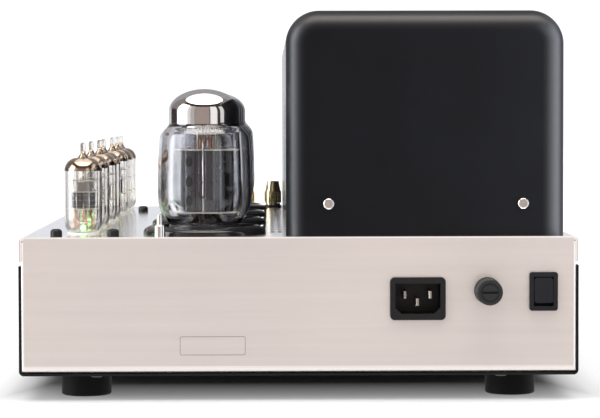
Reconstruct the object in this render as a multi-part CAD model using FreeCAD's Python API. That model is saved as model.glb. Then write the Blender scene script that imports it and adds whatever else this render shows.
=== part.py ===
import FreeCAD, Part
import math
import os

# Stereo tube power amplifier. Millimetres, +Z up, +Y away from the mains end, +X towards the
# transformers. The origin is on the ground at the middle of the whole outline.

os.makedirs("parts", exist_ok=True)

V = FreeCAD.Vector

# Case
case_width = 305.0
case_length = 419.0
case_height = 75.8
foot_height = 13.6
shell_sheet = 1.5
shell_bend = 2.7
lip_depth = 13.6
end_panel_inset = 1.0
end_panel_return = 9.0
end_panel_flange = 14.0
end_bend = 1.2
end_fold = 3.0
rail_overlap = 8.0

# How far a cutter runs past the face it opens, how deep joined pieces run into each other, and
# how close an edge lies to the place it is picked by
cut_over = 1.0
weld = 0.5
touch = 0.01

# Clearances
fit_gap = 0.05
clear_gap = 0.3

pan_sheet = 1.2
side_gap = 2.2
pan_bend = 2.7

foot_radius = 13.9
foot_edge = 1.2
foot_from_side = 34.0
foot_from_end = 34.0
foot_recess_radius = 6.0
foot_recess_depth = 7.0

# Pan-head screws
case_screw_radius = 1.5
case_screw_head_radius = 3.0
case_screw_head_height = 1.3
case_screw_length = 9.0
case_screw_from_side = 41.5
case_screw_from_end = 8.0
foot_screw_radius = 2.0
foot_screw_head_radius = 4.0
foot_screw_head_height = 2.6
foot_nut_radius = 4.0
foot_nut_height = 3.2
screw_socket_radius = 1.0
screw_socket_depth = 0.8

# Transformer covers
cover_width = 153.5
cover_gap = 5.0
cover_height = 123.7
cover_sheet = 1.2
cover_side_top_radius = 18.6
cover_end_radius = 12.5
cover_side_margin = 5.9
cover_end_margin = 8.0
cover_flange = 9.0
cover_screw_inset = 23.4
cover_screw_height = 17.6
cover_screw_radius = 2.0
cover_screw_head_radius = 3.1
cover_screw_head_height = 2.0
cover_screw_length = 7.0
cover_bracket_width = 14.0
cover_bracket_height = 26.0
cover_bracket_foot = 12.0
wire_hole_radius = 11.0

# Transformers
core_side_room = 15.35
core_end_room = 15.5
core_top_room = 21.7
core_window_width = 20.0
core_yoke = 20.0
core_lift = 24.0
coil_overhang = 20.0
coil_gap = 0.5
core_bolt_inset = 8.0
core_bolt_radius = 2.5
core_bolt_head_radius = 4.6
core_bolt_head_height = 3.5
core_spacer_radius = 6.0
core_bolt_tail = 6.0

# Power tubes
power_tube_first = 39.5
power_tube_last_from_far = 73.5
power_tube_count = 4
power_ring_from_cover = 11.1
power_glass_wall = 1.2
power_dome_radius = 19.9
power_dome_height = 12.6
dome_steps = 4
power_shoulder_radius = 24.1
power_shoulder_middle = 56.0
power_waist_radius = 25.6
power_foot_turn_radius = 25.1
power_foot_round_radius = 22.2
power_foot_round = 8.8
power_neck_bottom = 61.2
power_neck_top = 68.3
power_shoulder_bottom = 46.0
power_body_radius = 26.1
power_body_bottom = 14.0
power_glass_foot_radius = 16.0
power_glass_foot = 3.0
power_base_radius = 19.8
power_base_top = 5.5
power_base_bottom = -12.0
power_base_edge = 1.0
octal_pin_count = 8
octal_pin_circle = 8.7
octal_pin_radius = 1.18
octal_pin_length = 11.0
octal_key_radius = 3.9
octal_key_length = 13.0
pin_clearance = 0.08

anode_half_width = 15.15
anode_half_depth = 10.0
anode_corner = 4.0
anode_wall = 0.6
anode_bottom = 12.8
anode_top = 46.4
anode_hole_offset = 9.0
anode_hole_heights = (18.5, 29.2, 40.3)
anode_hole_width = 3.7
anode_hole_height = 5.7
anode_rib_radius = 0.9
anode_rib_places = (-13.0, -4.5, 0.0, 4.5, 13.0)
mica_thickness = 0.6
mica_radius = 22.5
mica_clip_radius = 18.6
support_rod_radius = 0.8
support_rod_offset = 6.5
support_rod_top = 60.0
getter_ring_radius = 6.0
getter_wire_radius = 0.7
stem_radius = 11.0
stem_sheet = 1.5
stem_rise_radius = 6.6
stem_tip_radius = 4.4
stem_top = 9.0
support_rod_reach = 6.0
bridge_width = 0.8

power_ring_radius = 34.3
power_ring_bore = 28.2
power_ring_crest = 29.4
power_ring_height = 4.8
power_ring_rim = 1.3
power_ring_slope_radius = 31.85
power_ring_slope_height = 3.8
power_ring_inner_drop = 0.6
power_ring_skirt = 6.0
power_ring_skirt_wall = 1.6
power_socket_radius = 19.0
power_socket_ear = 26.0
power_socket_ear_width = 16.0
power_socket_ear_sheet = 3.0

# Signal tubes
signal_tubes_from_near = (38.0, 99.0, 168.0, 203.0)
signal_tubes_from_far = (134.0, 83.0, 40.0)
signal_tube_aside = 0.55
signal_glass_radius = 10.5
signal_glass_wall = 0.8
signal_glass_bottom = 1.0
signal_glass_round = 7.0
signal_glass_foot_radius = 7.5
signal_dome_top = 42.6
signal_dome_radius = 6.6
signal_foot_turn_in = 0.7
signal_foot_turn_up = 2.6
signal_dome_turn_in = 1.9
signal_dome_turn_down = 2.2
signal_tip_top = 51.1
signal_tip_radius = 1.45
signal_tip_cone_radius = 3.5
signal_tip_cone_top = 44.8
noval_pin_count = 9
noval_pin_circle = 5.95
noval_pin_radius = 0.51
noval_pin_length = 7.0
signal_anode_half_width = 6.85
signal_anode_half_depth = 3.0
signal_anode_gap = 0.8
signal_anode_bottom = 14.7
signal_anode_top = 23.1
signal_shield_half_width = 3.95
signal_shield_half_depth = 2.0
signal_shield_top = 29.0
signal_mica_heights = (14.0, 23.4, 29.6)
signal_mica_radius = 9.4
signal_rod_radius = 0.4
signal_rod_offset = 4.6
signal_rod_reach = 1.2
signal_getter_height = 36.0
signal_getter_ring_radius = 3.2
signal_getter_wire_radius = 0.3
signal_socket_rim_radius = 9.1
signal_socket_rim = 1.0
signal_socket_radius = 8.5
signal_hole_gap = 0.2
lamp_radius = 1.5
lamp_gap = 0.2
lamp_drop = 0.4
lamp_flange_radius = 1.9
lamp_flange = 1.2
lamp_round = 1.35

# Circuit board and what it carries
board_depth = 27.0
board_thickness = 1.6
board_from_side = 10.5
board_from_cover = 7.1
board_end_margin = 24.0
board_corner = 3.0
post_radius = 3.2
post_bore_radius = 1.35
post_from_side = 13.5
post_from_cover = 13.1
plate_screw_radius = 1.2
plate_screw_head_radius = 1.7
plate_screw_head_height = 2.2
plate_screw_length = 9.0
capacitor_radius = 17.5
capacitor_floor_room = 5.05
capacitor_edge = 1.5
capacitor_aside = 2.7
outer_capacitor_aside = 42.7

# Vent slots between tubes and transformers
vents_from_cover = (7.3, 3.2)
vent_width = 2.3
vent_length = 15.5
vent_first = 46.0
vent_last_from_far = 66.0
vent_count = 12

# Fixings for the tube guard
guard_plug_radius = 3.25
guard_plug_height = 4.0
guard_plug_edge = 1.9
guard_plug_stem_radius = 2.0
guard_plug_stem = 5.0
guard_plugs_aside = (-13.0, 18.2)
guard_plug_from_near = 13.0
guard_plug_from_far = 95.0
guard_post_aside = 23.7
guard_post_from_end = 6.0
guard_post_radius = 3.0
guard_post_height = 6.4
guard_post_tip_radius = 1.6
guard_post_tip_top = 11.8
guard_post_chamfer = 0.5
guard_post_tail = 3.0

# Mains inlet
inlet_from_side = 87.7
inlet_height = 41.9
inlet_width = 30.3
inlet_tall = 23.3
inlet_flange = 2.0
inlet_corner = 2.5
inlet_body_width = 27.0
inlet_body_tall = 19.8
inlet_body_depth = 20.0
inlet_recess_width = 24.6
inlet_recess_tall = 16.6
inlet_recess_depth = 17.0
inlet_recess_chamfer = 3.4
blade_width = 2.0
blade_tall = 4.0
blade_spacing = 7.0
blade_offset = 2.0
blade_setback = 2.0
blade_tail = 9.0

# Fuse holder
fuse_from_side = 49.6
fuse_height = 46.2
fuse_flange_radius = 7.3
fuse_flange = 1.8
fuse_body_radius = 6.2
fuse_body_depth = 44.0
fuse_bore_radius = 4.6
fuse_bore_depth = 41.0
fuse_cap_radius = 7.0
fuse_cap_length = 14.0
fuse_cap_edge = 0.8
fuse_cap_groove_outer = 5.0
fuse_cap_groove_inner = 4.3
fuse_cap_groove_depth = 0.5
fuse_slot_width = 1.2
fuse_slot_depth = 1.6
fuse_slot_length = 8.0
fuse_plug_length = 8.0
fuse_cartridge_radius = 3.175
fuse_cartridge_length = 31.8
fuse_cartridge_hold = 6.0
fuse_end_gap = 0.4

# Rocker switches
near_switch_from_side = 19.1
far_switch_from_side = 32.5
switch_height = 45.7
switch_width = 15.5
switch_tall = 21.1
switch_bezel = 2.0
switch_corner = 1.5
switch_body_width = 12.9
switch_body_tall = 18.6
switch_body_depth = 16.0
rocker_width = 10.2
rocker_tall = 13.8
rocker_gap = 0.3
rocker_end_gap = 1.1
rocker_tilt = 9.0
rocker_proud = 0.2
rocker_depth = 8.0
switch_well_depth = 13.0
rocker_axle_radius = 1.0
rocker_axle_overhang = 1.0
rocker_axle_clearance = 0.08
rocker_axle_inset = 1.5
rocker_corner = 1.4

# Input jacks on the far end
jacks_from_side = (117.5, 92.5)
jack_height = 41.0
jack_radius = 4.15
jack_reach = 9.5
jack_wall = 0.7
jack_nut_radius = 6.4
jack_nut = 2.2
jack_thread_radius = 4.6
jack_tail = 12.0
jack_contact_radius = 1.65
jack_contact_depth = 11.5
jack_insert_setback = 1.5

# Loudspeaker posts
terminal_from_cover = 6.7
terminal_pitch = 19.05
terminal_count = 4
terminal_from_far = 22.0
terminal_flange_radius = 6.2
terminal_insulator_height = 1.6
terminal_insulator_neck = 4.4
terminal_insulator_depth = 3.0
terminal_stud_radius = 3.0
terminal_stud_top = 17.4
terminal_stud_depth = 14.0
terminal_bore_radius = 2.0
terminal_bore_depth = 13.0
terminal_collar_radius = 5.2
terminal_collar_height = 1.4
terminal_nut_height = 3.0
terminal_cap_radius = 6.0
terminal_cap_neck_radius = 5.4
terminal_cap_shoulder = 11.6
terminal_cap_top = 18.6
terminal_cap_top_radius = 4.2
terminal_knurl_radius = 0.45
terminal_knurl_count = 24
terminal_knurl_margin = 0.9

# Places that follow from the sizes above
near_reach = fuse_flange + fuse_cap_length
far_reach = jack_reach
near_y = -(case_length + far_reach - near_reach) / 2.0
far_y = near_y + case_length
pan_z = foot_height
plate_z = foot_height + case_height
half_width = case_width / 2.0
end_panel_half_width = half_width - end_panel_inset
pan_flange_height = case_height - lip_depth - side_gap
pan_inner = end_panel_half_width + fit_gap
pan_outer = pan_inner + pan_sheet
board_top = plate_z - board_depth
board_bottom = board_top - board_thickness
cover_right = half_width - cover_side_margin
cover_left = cover_right - cover_width
cover_length = (case_length - 2.0 * cover_end_margin - 2.0 * cover_gap) / 3.0
cover_starts = [near_y + cover_end_margin + i * (cover_length + cover_gap) for i in range(3)]
cover_middle_x = (cover_left + cover_right) / 2.0
core_width = cover_width - 2.0 * core_side_room
core_length = cover_length - 2.0 * core_end_room
core_stack = cover_height - core_lift - coil_overhang - core_top_room
core_window_length = core_length - 2.0 * core_yoke
power_tube_x = cover_left - power_ring_from_cover - power_ring_radius
power_tube_row = case_length - power_tube_first - power_tube_last_from_far
power_tube_pitch = power_tube_row / (power_tube_count - 1)
power_tube_ys = [near_y + power_tube_first + i * power_tube_pitch for i in range(power_tube_count)]
signal_tube_x = (power_tube_x - power_ring_radius - half_width) / 2.0 - signal_tube_aside
signal_tube_ys = [near_y + place for place in signal_tubes_from_near]
signal_tube_ys += [far_y - place for place in signal_tubes_from_far]
terminal_y = far_y - terminal_from_far
terminal_xs = [cover_left - terminal_from_cover - i * terminal_pitch for i in range(terminal_count)]
vent_columns = [cover_left - place for place in vents_from_cover]
vent_run = case_length - vent_first - vent_length - vent_last_from_far
vent_pitch = vent_run / (vent_count - 1)
guard_plug_xs = [signal_tube_x + aside for aside in guard_plugs_aside]
guard_plug_ys = (near_y + guard_plug_from_near, far_y - guard_plug_from_far)
guard_post_x = power_tube_x - guard_post_aside
board_left = board_from_side - half_width
board_right = cover_left - board_from_cover
post_left_x = post_from_side - half_width
post_right_x = cover_left - post_from_cover
capacitor_height = board_bottom - pan_z - pan_sheet - capacitor_floor_room
inlet_x = half_width - inlet_from_side
fuse_x = half_width - fuse_from_side
near_switch_x = half_width - near_switch_from_side
far_switch_x = far_switch_from_side - half_width
jack_xs = [place - half_width for place in jacks_from_side]
board_post_ys = [power_tube_ys[i] + power_tube_pitch / 2.0 for i in range(power_tube_count - 1)]
capacitor_places = [(power_tube_x - capacitor_aside, y) for y in board_post_ys]
capacitor_places.append((power_tube_x - outer_capacitor_aside, power_tube_ys[1]))
foot_xs = (-(half_width - foot_from_side), half_width - foot_from_side)
foot_ys = (near_y + foot_from_end, far_y - foot_from_end)
case_screw_xs = (-(half_width - case_screw_from_side), half_width - case_screw_from_side)
case_screw_ys = (near_y + case_screw_from_end, far_y - case_screw_from_end)
guard_post_ys = (near_y + guard_post_from_end, far_y - guard_post_from_end)


def box(x0, x1, y0, y1, z0, z1):
    return Part.makeBox(x1 - x0, y1 - y0, z1 - z0, V(x0, y0, z0))


def rod(radius, x, y, z0, z1):
    return Part.makeCylinder(radius, z1 - z0, V(x, y, z0))


def rod_y(radius, x, z, y0, y1):
    return Part.makeCylinder(radius, y1 - y0, V(x, y0, z), V(0, 1, 0))


def fuse_all(shapes):
    joined = shapes[0].multiFuse(shapes[1:]) if len(shapes) > 1 else shapes[0]
    return joined.removeSplitter()


def cut_all(shape, tools):
    return shape.cut(tools) if tools else shape


def edges_along(shape, axis, where=None):
    """Straight edges parallel to an axis, kept where the test on the edge's middle holds."""
    found = []
    for edge in shape.Edges:
        if not isinstance(edge.Curve, Part.Line):
            continue
        if abs(abs(edge.Curve.Direction.dot(axis)) - 1.0) > 1e-6:
            continue
        middle = edge.CenterOfMass
        if where is None or where(middle):
            found.append(edge)
    return found


def circle_edges(shape, height, radius):
    """Whole horizontal circles of one radius at one height."""
    found = []
    for edge in shape.Edges:
        if isinstance(edge.Curve, Part.Circle) and abs(edge.Curve.Radius - radius) < 1e-4:
            if abs(edge.CenterOfMass.z - height) < 1e-4 and edge.isClosed():
                found.append(edge)
    return found


def turned(edges, x, y, z):
    """A solid of revolution about a vertical line, from an outline in the X-Z plane."""
    face = Part.Face(Part.Wire(Part.__sortEdges__(edges)))
    solid = face.revolve(V(0, 0, 0), V(0, 0, 1), 360.0)
    solid.translate(V(x, y, z))
    return solid


def line(r0, z0, r1, z1):
    return Part.makeLine(V(r0, 0, z0), V(r1, 0, z1))


def smooth(points, start=None, end=None):
    """One smooth curve through points of the X-Z plane, with a direction at each end."""
    curve = Part.BSplineCurve()
    places = [V(r, 0, z) for r, z in points]
    if start is None:
        curve.interpolate(places)
    else:
        curve.interpolate(Points=places, InitialTangent=V(*start), FinalTangent=V(*end))
    return curve.toShape()


def quarter_ellipse(radius, height, z):
    """From (radius, z) up to the axis at z + height."""
    points = []
    for step in range(dome_steps + 1):
        angle = math.pi / 2.0 * step / dome_steps
        points.append((radius * math.cos(angle), z + height * math.sin(angle)))
    points[-1] = (0.0, z + height)
    return smooth(points, (0, 0, 1), (-1, 0, 0))


def group(shapes):
    return Part.makeCompound(shapes)


def save(name, shape):
    shape.exportStep("parts/" + name + ".step")


# Chassis shell: one folded sheet with the top plate, the end panels and short side lips
def rounded_slab(x0, x1, y0, y1, z0, z1, bend):
    slab = box(x0, x1, y0, y1, z0, z1)
    return slab.makeFillet(bend, edges_along(slab, V(0, 1, 0), lambda m: m.z > z1 - touch))


def top_tray():
    """The top plate with its side lips, open below."""
    lip_z = plate_z - lip_depth
    outer = rounded_slab(-half_width, half_width, near_y, far_y, lip_z, plate_z, shell_bend)
    inner = rounded_slab(
        -half_width + shell_sheet, half_width - shell_sheet, near_y - cut_over, far_y + cut_over,
        lip_z - cut_over, plate_z - shell_sheet, shell_bend - shell_sheet,
    )
    return outer.cut(inner)


def end_panel(outside_y, inward):
    """An end panel with side returns and a bottom flange, inward being +1 or -1 along Y."""
    w = end_panel_half_width
    low = pan_z + pan_sheet
    inside_y = outside_y + inward * end_panel_flange
    y0, y1 = min(outside_y, inside_y), max(outside_y, inside_y)
    plain = box(-w, w, y0, y1, low, plate_z - shell_bend)
    fold = edges_along(plain, V(1, 0, 0), lambda m: m.z < low + touch and abs(m.y - outside_y) < touch)
    corner_edges = edges_along(plain, V(0, 0, 1), lambda m: abs(m.y - outside_y) < touch)
    low_corners = edges_along(plain, V(0, 1, 0), lambda m: m.z < low + touch)
    block = plain.makeFillet(end_fold, fold)
    block = block.common(plain.makeFillet(end_bend, corner_edges))
    block = block.common(plain.makeChamfer(pan_bend - pan_sheet, low_corners))
    hollow_y0 = outside_y + inward * shell_sheet
    hollow_y1 = outside_y + inward * (end_panel_flange + cut_over)
    hollow = box(
        -w + shell_sheet, w - shell_sheet, min(hollow_y0, hollow_y1), max(hollow_y0, hollow_y1),
        low + shell_sheet, plate_z,
    )
    inner_fold = edges_along(
        hollow, V(1, 0, 0), lambda m: m.z < plate_z - touch and abs(m.y - hollow_y0) < touch)
    hollow = hollow.makeFillet(end_fold - shell_sheet, inner_fold)
    back_y0 = outside_y + inward * end_panel_return
    back = box(
        -w - cut_over, w + cut_over, min(back_y0, hollow_y1), max(back_y0, hollow_y1),
        low + shell_sheet, plate_z,
    )
    head_y1 = outside_y + inward * shell_sheet
    head = box(
        -w + end_bend, w - end_bend, min(outside_y, head_y1), max(outside_y, head_y1),
        plate_z - shell_bend - weld, plate_z - shell_sheet / 2.0,
    )
    return fuse_all([block.cut(hollow).cut(back), head])


def side_rail(side):
    """A strip inside the lip that closes the gap above the bottom pan."""
    outside = side * end_panel_half_width
    inside = side * (end_panel_half_width - shell_sheet)
    low = pan_z + pan_flange_height - rail_overlap
    return box(
        min(outside, inside), max(outside, inside), near_y + end_panel_return - weld,
        far_y - end_panel_return + weld, low, plate_z - shell_sheet / 2.0)


def board_post(x, y):
    return rod(post_radius, x, y, board_top, plate_z - shell_sheet / 2.0)


def cover_bracket(x, wall_y, inward):
    """An angle on the top plate behind a cover's end wall, tapped for the wall's screw."""
    y0 = wall_y + inward * (cover_sheet + fit_gap)
    y1 = y0 + inward * shell_sheet
    y2 = y0 + inward * cover_bracket_foot
    half = cover_bracket_width / 2.0
    top = plate_z + cover_bracket_height
    upright = box(x - half, x + half, min(y0, y1), max(y0, y1), plate_z, top)
    foot = box(x - half, x + half, min(y0, y2), max(y0, y2), plate_z, plate_z + shell_sheet)
    z = plate_z + cover_screw_height
    hole = rod_y(cover_screw_radius + fit_gap, x, z, min(y0, y1) - cut_over, max(y0, y1) + cut_over)
    return fuse_all([upright, foot]).cut(hole)


def cover_end_screw_xs():
    return (cover_left + cover_screw_inset, cover_right - cover_screw_inset)


def end_screw_walls():
    """Outer wall faces that take screws: the near cover's near wall and the far cover's far wall."""
    return ((cover_starts[0], 1.0), (cover_starts[2] + cover_length, -1.0))


def cover_flange_screws():
    """Screws that come up through the plate into the covers' inward flanges."""
    places = []
    for index, start in enumerate(cover_starts):
        rows = []
        if index > 0:
            rows.append(start + cover_screw_inset)
        if index < 2:
            rows.append(start + cover_length - cover_screw_inset)
        for y in rows:
            places.append((cover_left + cover_sheet + cover_flange / 2.0, y))
            places.append((cover_right - cover_sheet - cover_flange / 2.0, y))
    return places


def core_bolt_places():
    places = []
    for start in cover_starts:
        middle_y = start + cover_length / 2.0
        for side_x in (-1.0, 1.0):
            for side_y in (-1.0, 1.0):
                x = cover_middle_x + side_x * (core_width / 2.0 - core_bolt_inset)
                y = middle_y + side_y * (core_length / 2.0 - core_bolt_inset)
                places.append((x, y))
    return places


def plate_hole(radius, x, y):
    return rod(radius, x, y, plate_z - shell_sheet - cut_over, plate_z + 2.0 * shell_sheet)


def vent_slot(x, y):
    half = vent_width / 2.0
    low, high = plate_z - shell_sheet - cut_over, plate_z + cut_over
    slot = box(x - half, x + half, y + half, y + vent_length - half, low, high)
    ends = [rod(half, x, y + half, low, high), rod(half, x, y + vent_length - half, low, high)]
    return fuse_all([slot] + ends)


def panel_window(x, z, width, tall, y0, y1):
    return box(x - width / 2.0, x + width / 2.0, y0, y1, z - tall / 2.0, z + tall / 2.0)


def chassis_shell():
    shapes = [top_tray(), end_panel(near_y, 1.0), end_panel(far_y, -1.0), side_rail(-1.0), side_rail(1.0)]
    for x in (post_left_x, post_right_x):
        shapes += [board_post(x, y) for y in board_post_ys]
    shell = fuse_all(shapes)
    cuts = []
    for y in power_tube_ys:
        cuts.append(plate_hole(power_ring_bore + power_ring_skirt_wall + fit_gap, power_tube_x, y))
    for y in signal_tube_ys:
        cuts.append(plate_hole(signal_socket_radius + signal_hole_gap, signal_tube_x, y))
    for x in terminal_xs:
        cuts.append(plate_hole(terminal_insulator_neck + fit_gap, x, terminal_y))
    for x in vent_columns:
        cuts += [vent_slot(x, near_y + vent_first + i * vent_pitch) for i in range(vent_count)]
    for x in guard_plug_xs:
        cuts += [plate_hole(guard_plug_stem_radius + fit_gap, x, y) for y in guard_plug_ys]
    for y in guard_post_ys:
        cuts.append(plate_hole(guard_post_tip_radius + fit_gap, guard_post_x, y))
    for start in cover_starts:
        cuts.append(plate_hole(wire_hole_radius, cover_middle_x, start + cover_length / 2.0))
    for x, y in cover_flange_screws():
        cuts.append(plate_hole(cover_screw_radius + fit_gap, x, y))
    for x, y in core_bolt_places():
        cuts.append(plate_hole(core_bolt_radius + fit_gap, x, y))
    for y in board_post_ys:
        low = board_top - cut_over
        cuts.append(rod(post_bore_radius, post_right_x, y, low, plate_z + cut_over))
        cuts.append(rod(post_bore_radius, post_left_x, y, low, board_top + plate_screw_length))
    near0, near1 = near_y - cut_over, near_y + shell_sheet + cut_over
    far0, far1 = far_y - shell_sheet - cut_over, far_y + cut_over
    cuts.append(panel_window(
        inlet_x, pan_z + inlet_height, inlet_body_width + fit_gap, inlet_body_tall + fit_gap,
        near0, near1))
    cuts.append(rod_y(fuse_body_radius + fit_gap, fuse_x, pan_z + fuse_height, near0, near1))
    cuts.append(panel_window(
        near_switch_x, pan_z + switch_height, switch_body_width + fit_gap,
        switch_body_tall + fit_gap, near0, near1))
    cuts.append(panel_window(
        far_switch_x, pan_z + switch_height, switch_body_width + fit_gap,
        switch_body_tall + fit_gap, far0, far1))
    for x in jack_xs:
        cuts.append(rod_y(jack_thread_radius + fit_gap, x, pan_z + jack_height, far0, far1))
    for x in case_screw_xs:
        for y in case_screw_ys:
            cuts.append(rod(case_screw_radius + fit_gap, x, y, pan_z, pan_z + end_panel_flange))
    return cut_all(shell, cuts)


# Bottom pan: a U of thicker sheet under the whole case, with holes for feet and screws
def bottom_cover():
    block = box(-pan_outer, pan_outer, near_y, far_y, pan_z, pan_z + pan_flange_height)
    block = block.makeFillet(pan_bend, edges_along(block, V(0, 1, 0), lambda m: m.z < pan_z + touch))
    hollow = box(
        -pan_inner, pan_inner, near_y - cut_over, far_y + cut_over,
        pan_z + pan_sheet, pan_z + pan_flange_height + cut_over,
    )
    hollow_floor = edges_along(hollow, V(0, 1, 0), lambda m: m.z < pan_z + pan_sheet + touch)
    hollow = hollow.makeFillet(pan_bend - pan_sheet, hollow_floor)
    pan = block.cut(hollow)
    low, high = pan_z - cut_over, pan_z + pan_sheet + cut_over
    holes = [rod(foot_screw_radius + fit_gap, x, y, low, high) for x in foot_xs for y in foot_ys]
    small = case_screw_radius + fit_gap
    holes += [rod(small, x, y, low, high) for x in case_screw_xs for y in case_screw_ys]
    return pan.cut(holes)


def rubber_foot(x, y):
    foot = rod(foot_radius, x, y, 0.0, pan_z)
    foot = foot.makeFillet(foot_edge, circle_edges(foot, 0.0, foot_radius))
    recess = rod(foot_recess_radius, x, y, -cut_over, foot_recess_depth)
    hole = rod(foot_screw_radius + fit_gap, x, y, 0.0, pan_z + cut_over)
    return foot.cut(recess).cut(hole)


def foot_screw(x, y):
    """A pan-head screw up through a foot and the pan, with its nut inside."""
    head_z = foot_recess_depth
    face_z = head_z - foot_screw_head_height
    head = rod(foot_screw_head_radius, x, y, face_z, head_z)
    nut_z = pan_z + pan_sheet
    shank = rod(foot_screw_radius, x, y, head_z - weld, nut_z + foot_nut_height + cut_over)
    nut = rod(foot_nut_radius, x, y, nut_z, nut_z + foot_nut_height)
    drive = rod(screw_socket_radius, x, y, face_z - cut_over, face_z + screw_socket_depth)
    return fuse_all([head, shank, nut]).cut(drive)


def case_screw(x, y):
    """A small pan-head screw from below through the pan into an end panel's flange."""
    face_z = pan_z - case_screw_head_height
    head = rod(case_screw_head_radius, x, y, face_z, pan_z)
    round_edge = circle_edges(head, face_z, case_screw_head_radius)
    head = head.makeFillet(case_screw_head_height / 2.0, round_edge)
    shank = rod(case_screw_radius, x, y, pan_z - weld, pan_z + case_screw_length)
    drive = rod(screw_socket_radius, x, y, face_z - cut_over, face_z + screw_socket_depth)
    return head.fuse(shank).cut(drive)


# Transformer covers: drawn caps with an inward flange, screwed to the plate and to brackets on it
def cover_block(x0, x1, y0, y1, z0, z1, shrink):
    block = box(x0, x1, y0, y1, z0, z1)
    side_tops = edges_along(block, V(0, 1, 0), lambda m: m.z > z1 - touch)
    block = block.makeFillet(cover_side_top_radius - shrink, side_tops)
    outlines = []
    for edge in block.Edges:
        ends_y = [vertex.Point.y for vertex in edge.Vertexes]
        on_near = max(abs(y - y0) for y in ends_y) < touch
        on_far = max(abs(y - y1) for y in ends_y) < touch
        if (on_near or on_far) and edge.CenterOfMass.z > z0 + touch:
            outlines.append(edge)
    return block.makeFillet(cover_end_radius - shrink, outlines)


def transformer_cover(index):
    start = cover_starts[index]
    left, right, end = cover_left, cover_right, start + cover_length
    top = plate_z + cover_height
    t = cover_sheet
    outer = cover_block(left, right, start, end, plate_z, top, 0.0)
    inner = cover_block(left + t, right - t, start + t, end - t, plate_z - cut_over, top - t, t)
    cap = outer.cut(inner)
    inner_z = plate_z + t
    flange_y0 = start + cover_end_radius
    flange_y1 = end - cover_end_radius
    reach = t + cover_flange
    left_flange = box(left + t / 2.0, left + reach, flange_y0, flange_y1, plate_z, inner_z)
    right_flange = box(right - reach, right - t / 2.0, flange_y0, flange_y1, plate_z, inner_z)
    cap = fuse_all([cap, left_flange, right_flange])
    holes = []
    for wall_y, inward in end_screw_walls():
        if abs(wall_y - start) < touch or abs(wall_y - end) < touch:
            for x in cover_end_screw_xs():
                z = plate_z + cover_screw_height
                y0, y1 = wall_y - t - cut_over, wall_y + t + cut_over
                holes.append(rod_y(cover_screw_radius + fit_gap, x, z, y0, y1))
    for x, y in cover_flange_screws():
        if start < y < end:
            low, high = plate_z - cut_over, inner_z + cut_over
            holes.append(rod(cover_screw_radius + fit_gap, x, y, low, high))
    return cap.cut(holes)


def rim_edges(solid, y):
    """Circles in the plane at y of a solid turned about a line along Y."""
    circles = [edge for edge in solid.Edges if isinstance(edge.Curve, Part.Circle)]
    return [edge for edge in circles if abs(edge.CenterOfMass.y - y) < touch]


def cover_end_screw(x, wall_y, inward):
    """A pan-head screw on a cover's end wall."""
    z = plate_z + cover_screw_height
    out_y = wall_y - inward * cover_screw_head_height
    in_y = wall_y + inward * cover_screw_length
    head = rod_y(cover_screw_head_radius, x, z, min(out_y, wall_y), max(out_y, wall_y))
    head = head.makeFillet(cover_screw_head_height / 2.0, rim_edges(head, out_y))
    shank_y = wall_y - inward * weld
    shank = rod_y(cover_screw_radius, x, z, min(shank_y, in_y), max(shank_y, in_y))
    drive_y = out_y + inward * screw_socket_depth
    open_y = out_y - inward * cut_over
    drive = rod_y(screw_socket_radius, x, z, min(open_y, drive_y), max(open_y, drive_y))
    return head.fuse(shank).cut(drive)


def cover_flange_screw(x, y):
    """The same screw from under the plate, up into a cover's flange."""
    under = plate_z - shell_sheet
    face_z = under - cover_screw_head_height
    head = rod(cover_screw_head_radius, x, y, face_z, under)
    shank = rod(cover_screw_radius, x, y, under - weld, under + cover_screw_length)
    drive = rod(screw_socket_radius, x, y, face_z - cut_over, face_z + screw_socket_depth)
    return head.fuse(shank).cut(drive)


def transformer_core(index):
    """A stack of laminations with two windows, held up clear of the plate."""
    middle_y = cover_starts[index] + cover_length / 2.0
    z0 = plate_z + core_lift
    z1 = z0 + core_stack
    x0, x1 = cover_middle_x - core_width / 2.0, cover_middle_x + core_width / 2.0
    y0, y1 = middle_y - core_length / 2.0, middle_y + core_length / 2.0
    core = box(x0, x1, y0, y1, z0, z1)
    leg = core_width / 4.0
    cuts = []
    for side in (-1.0, 1.0):
        window_x = cover_middle_x + side * (leg / 2.0 + core_window_width / 2.0)
        cuts.append(box(
            window_x - core_window_width / 2.0, window_x + core_window_width / 2.0,
            middle_y - core_window_length / 2.0, middle_y + core_window_length / 2.0,
            z0 - cut_over, z1 + cut_over))
    for x, y in core_bolt_places():
        if y0 < y < y1:
            cuts.append(rod(core_bolt_radius + fit_gap, x, y, z0 - cut_over, z1 + cut_over))
    return core.cut(cuts)


def transformer_winding(index):
    """A coil round the middle leg, filling the windows and standing proud above and below."""
    middle_y = cover_starts[index] + cover_length / 2.0
    z0 = plate_z + core_lift - coil_overhang
    z1 = plate_z + core_lift + core_stack + coil_overhang
    leg = core_width / 4.0 / 2.0
    x = cover_middle_x
    outer_x = leg + core_window_width - coil_gap
    half_y = core_window_length / 2.0 - coil_gap
    coil = box(x - outer_x, x + outer_x, middle_y - half_y, middle_y + half_y, z0, z1)
    coil = coil.makeFillet(coil_overhang / 2.0, edges_along(coil, V(0, 1, 0)))
    gap = fit_gap
    hollow = box(
        x - leg - gap, x + leg + gap, middle_y - half_y - cut_over, middle_y + half_y + cut_over,
        plate_z + core_lift - gap, plate_z + core_lift + core_stack + gap)
    return coil.cut(hollow)


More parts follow.
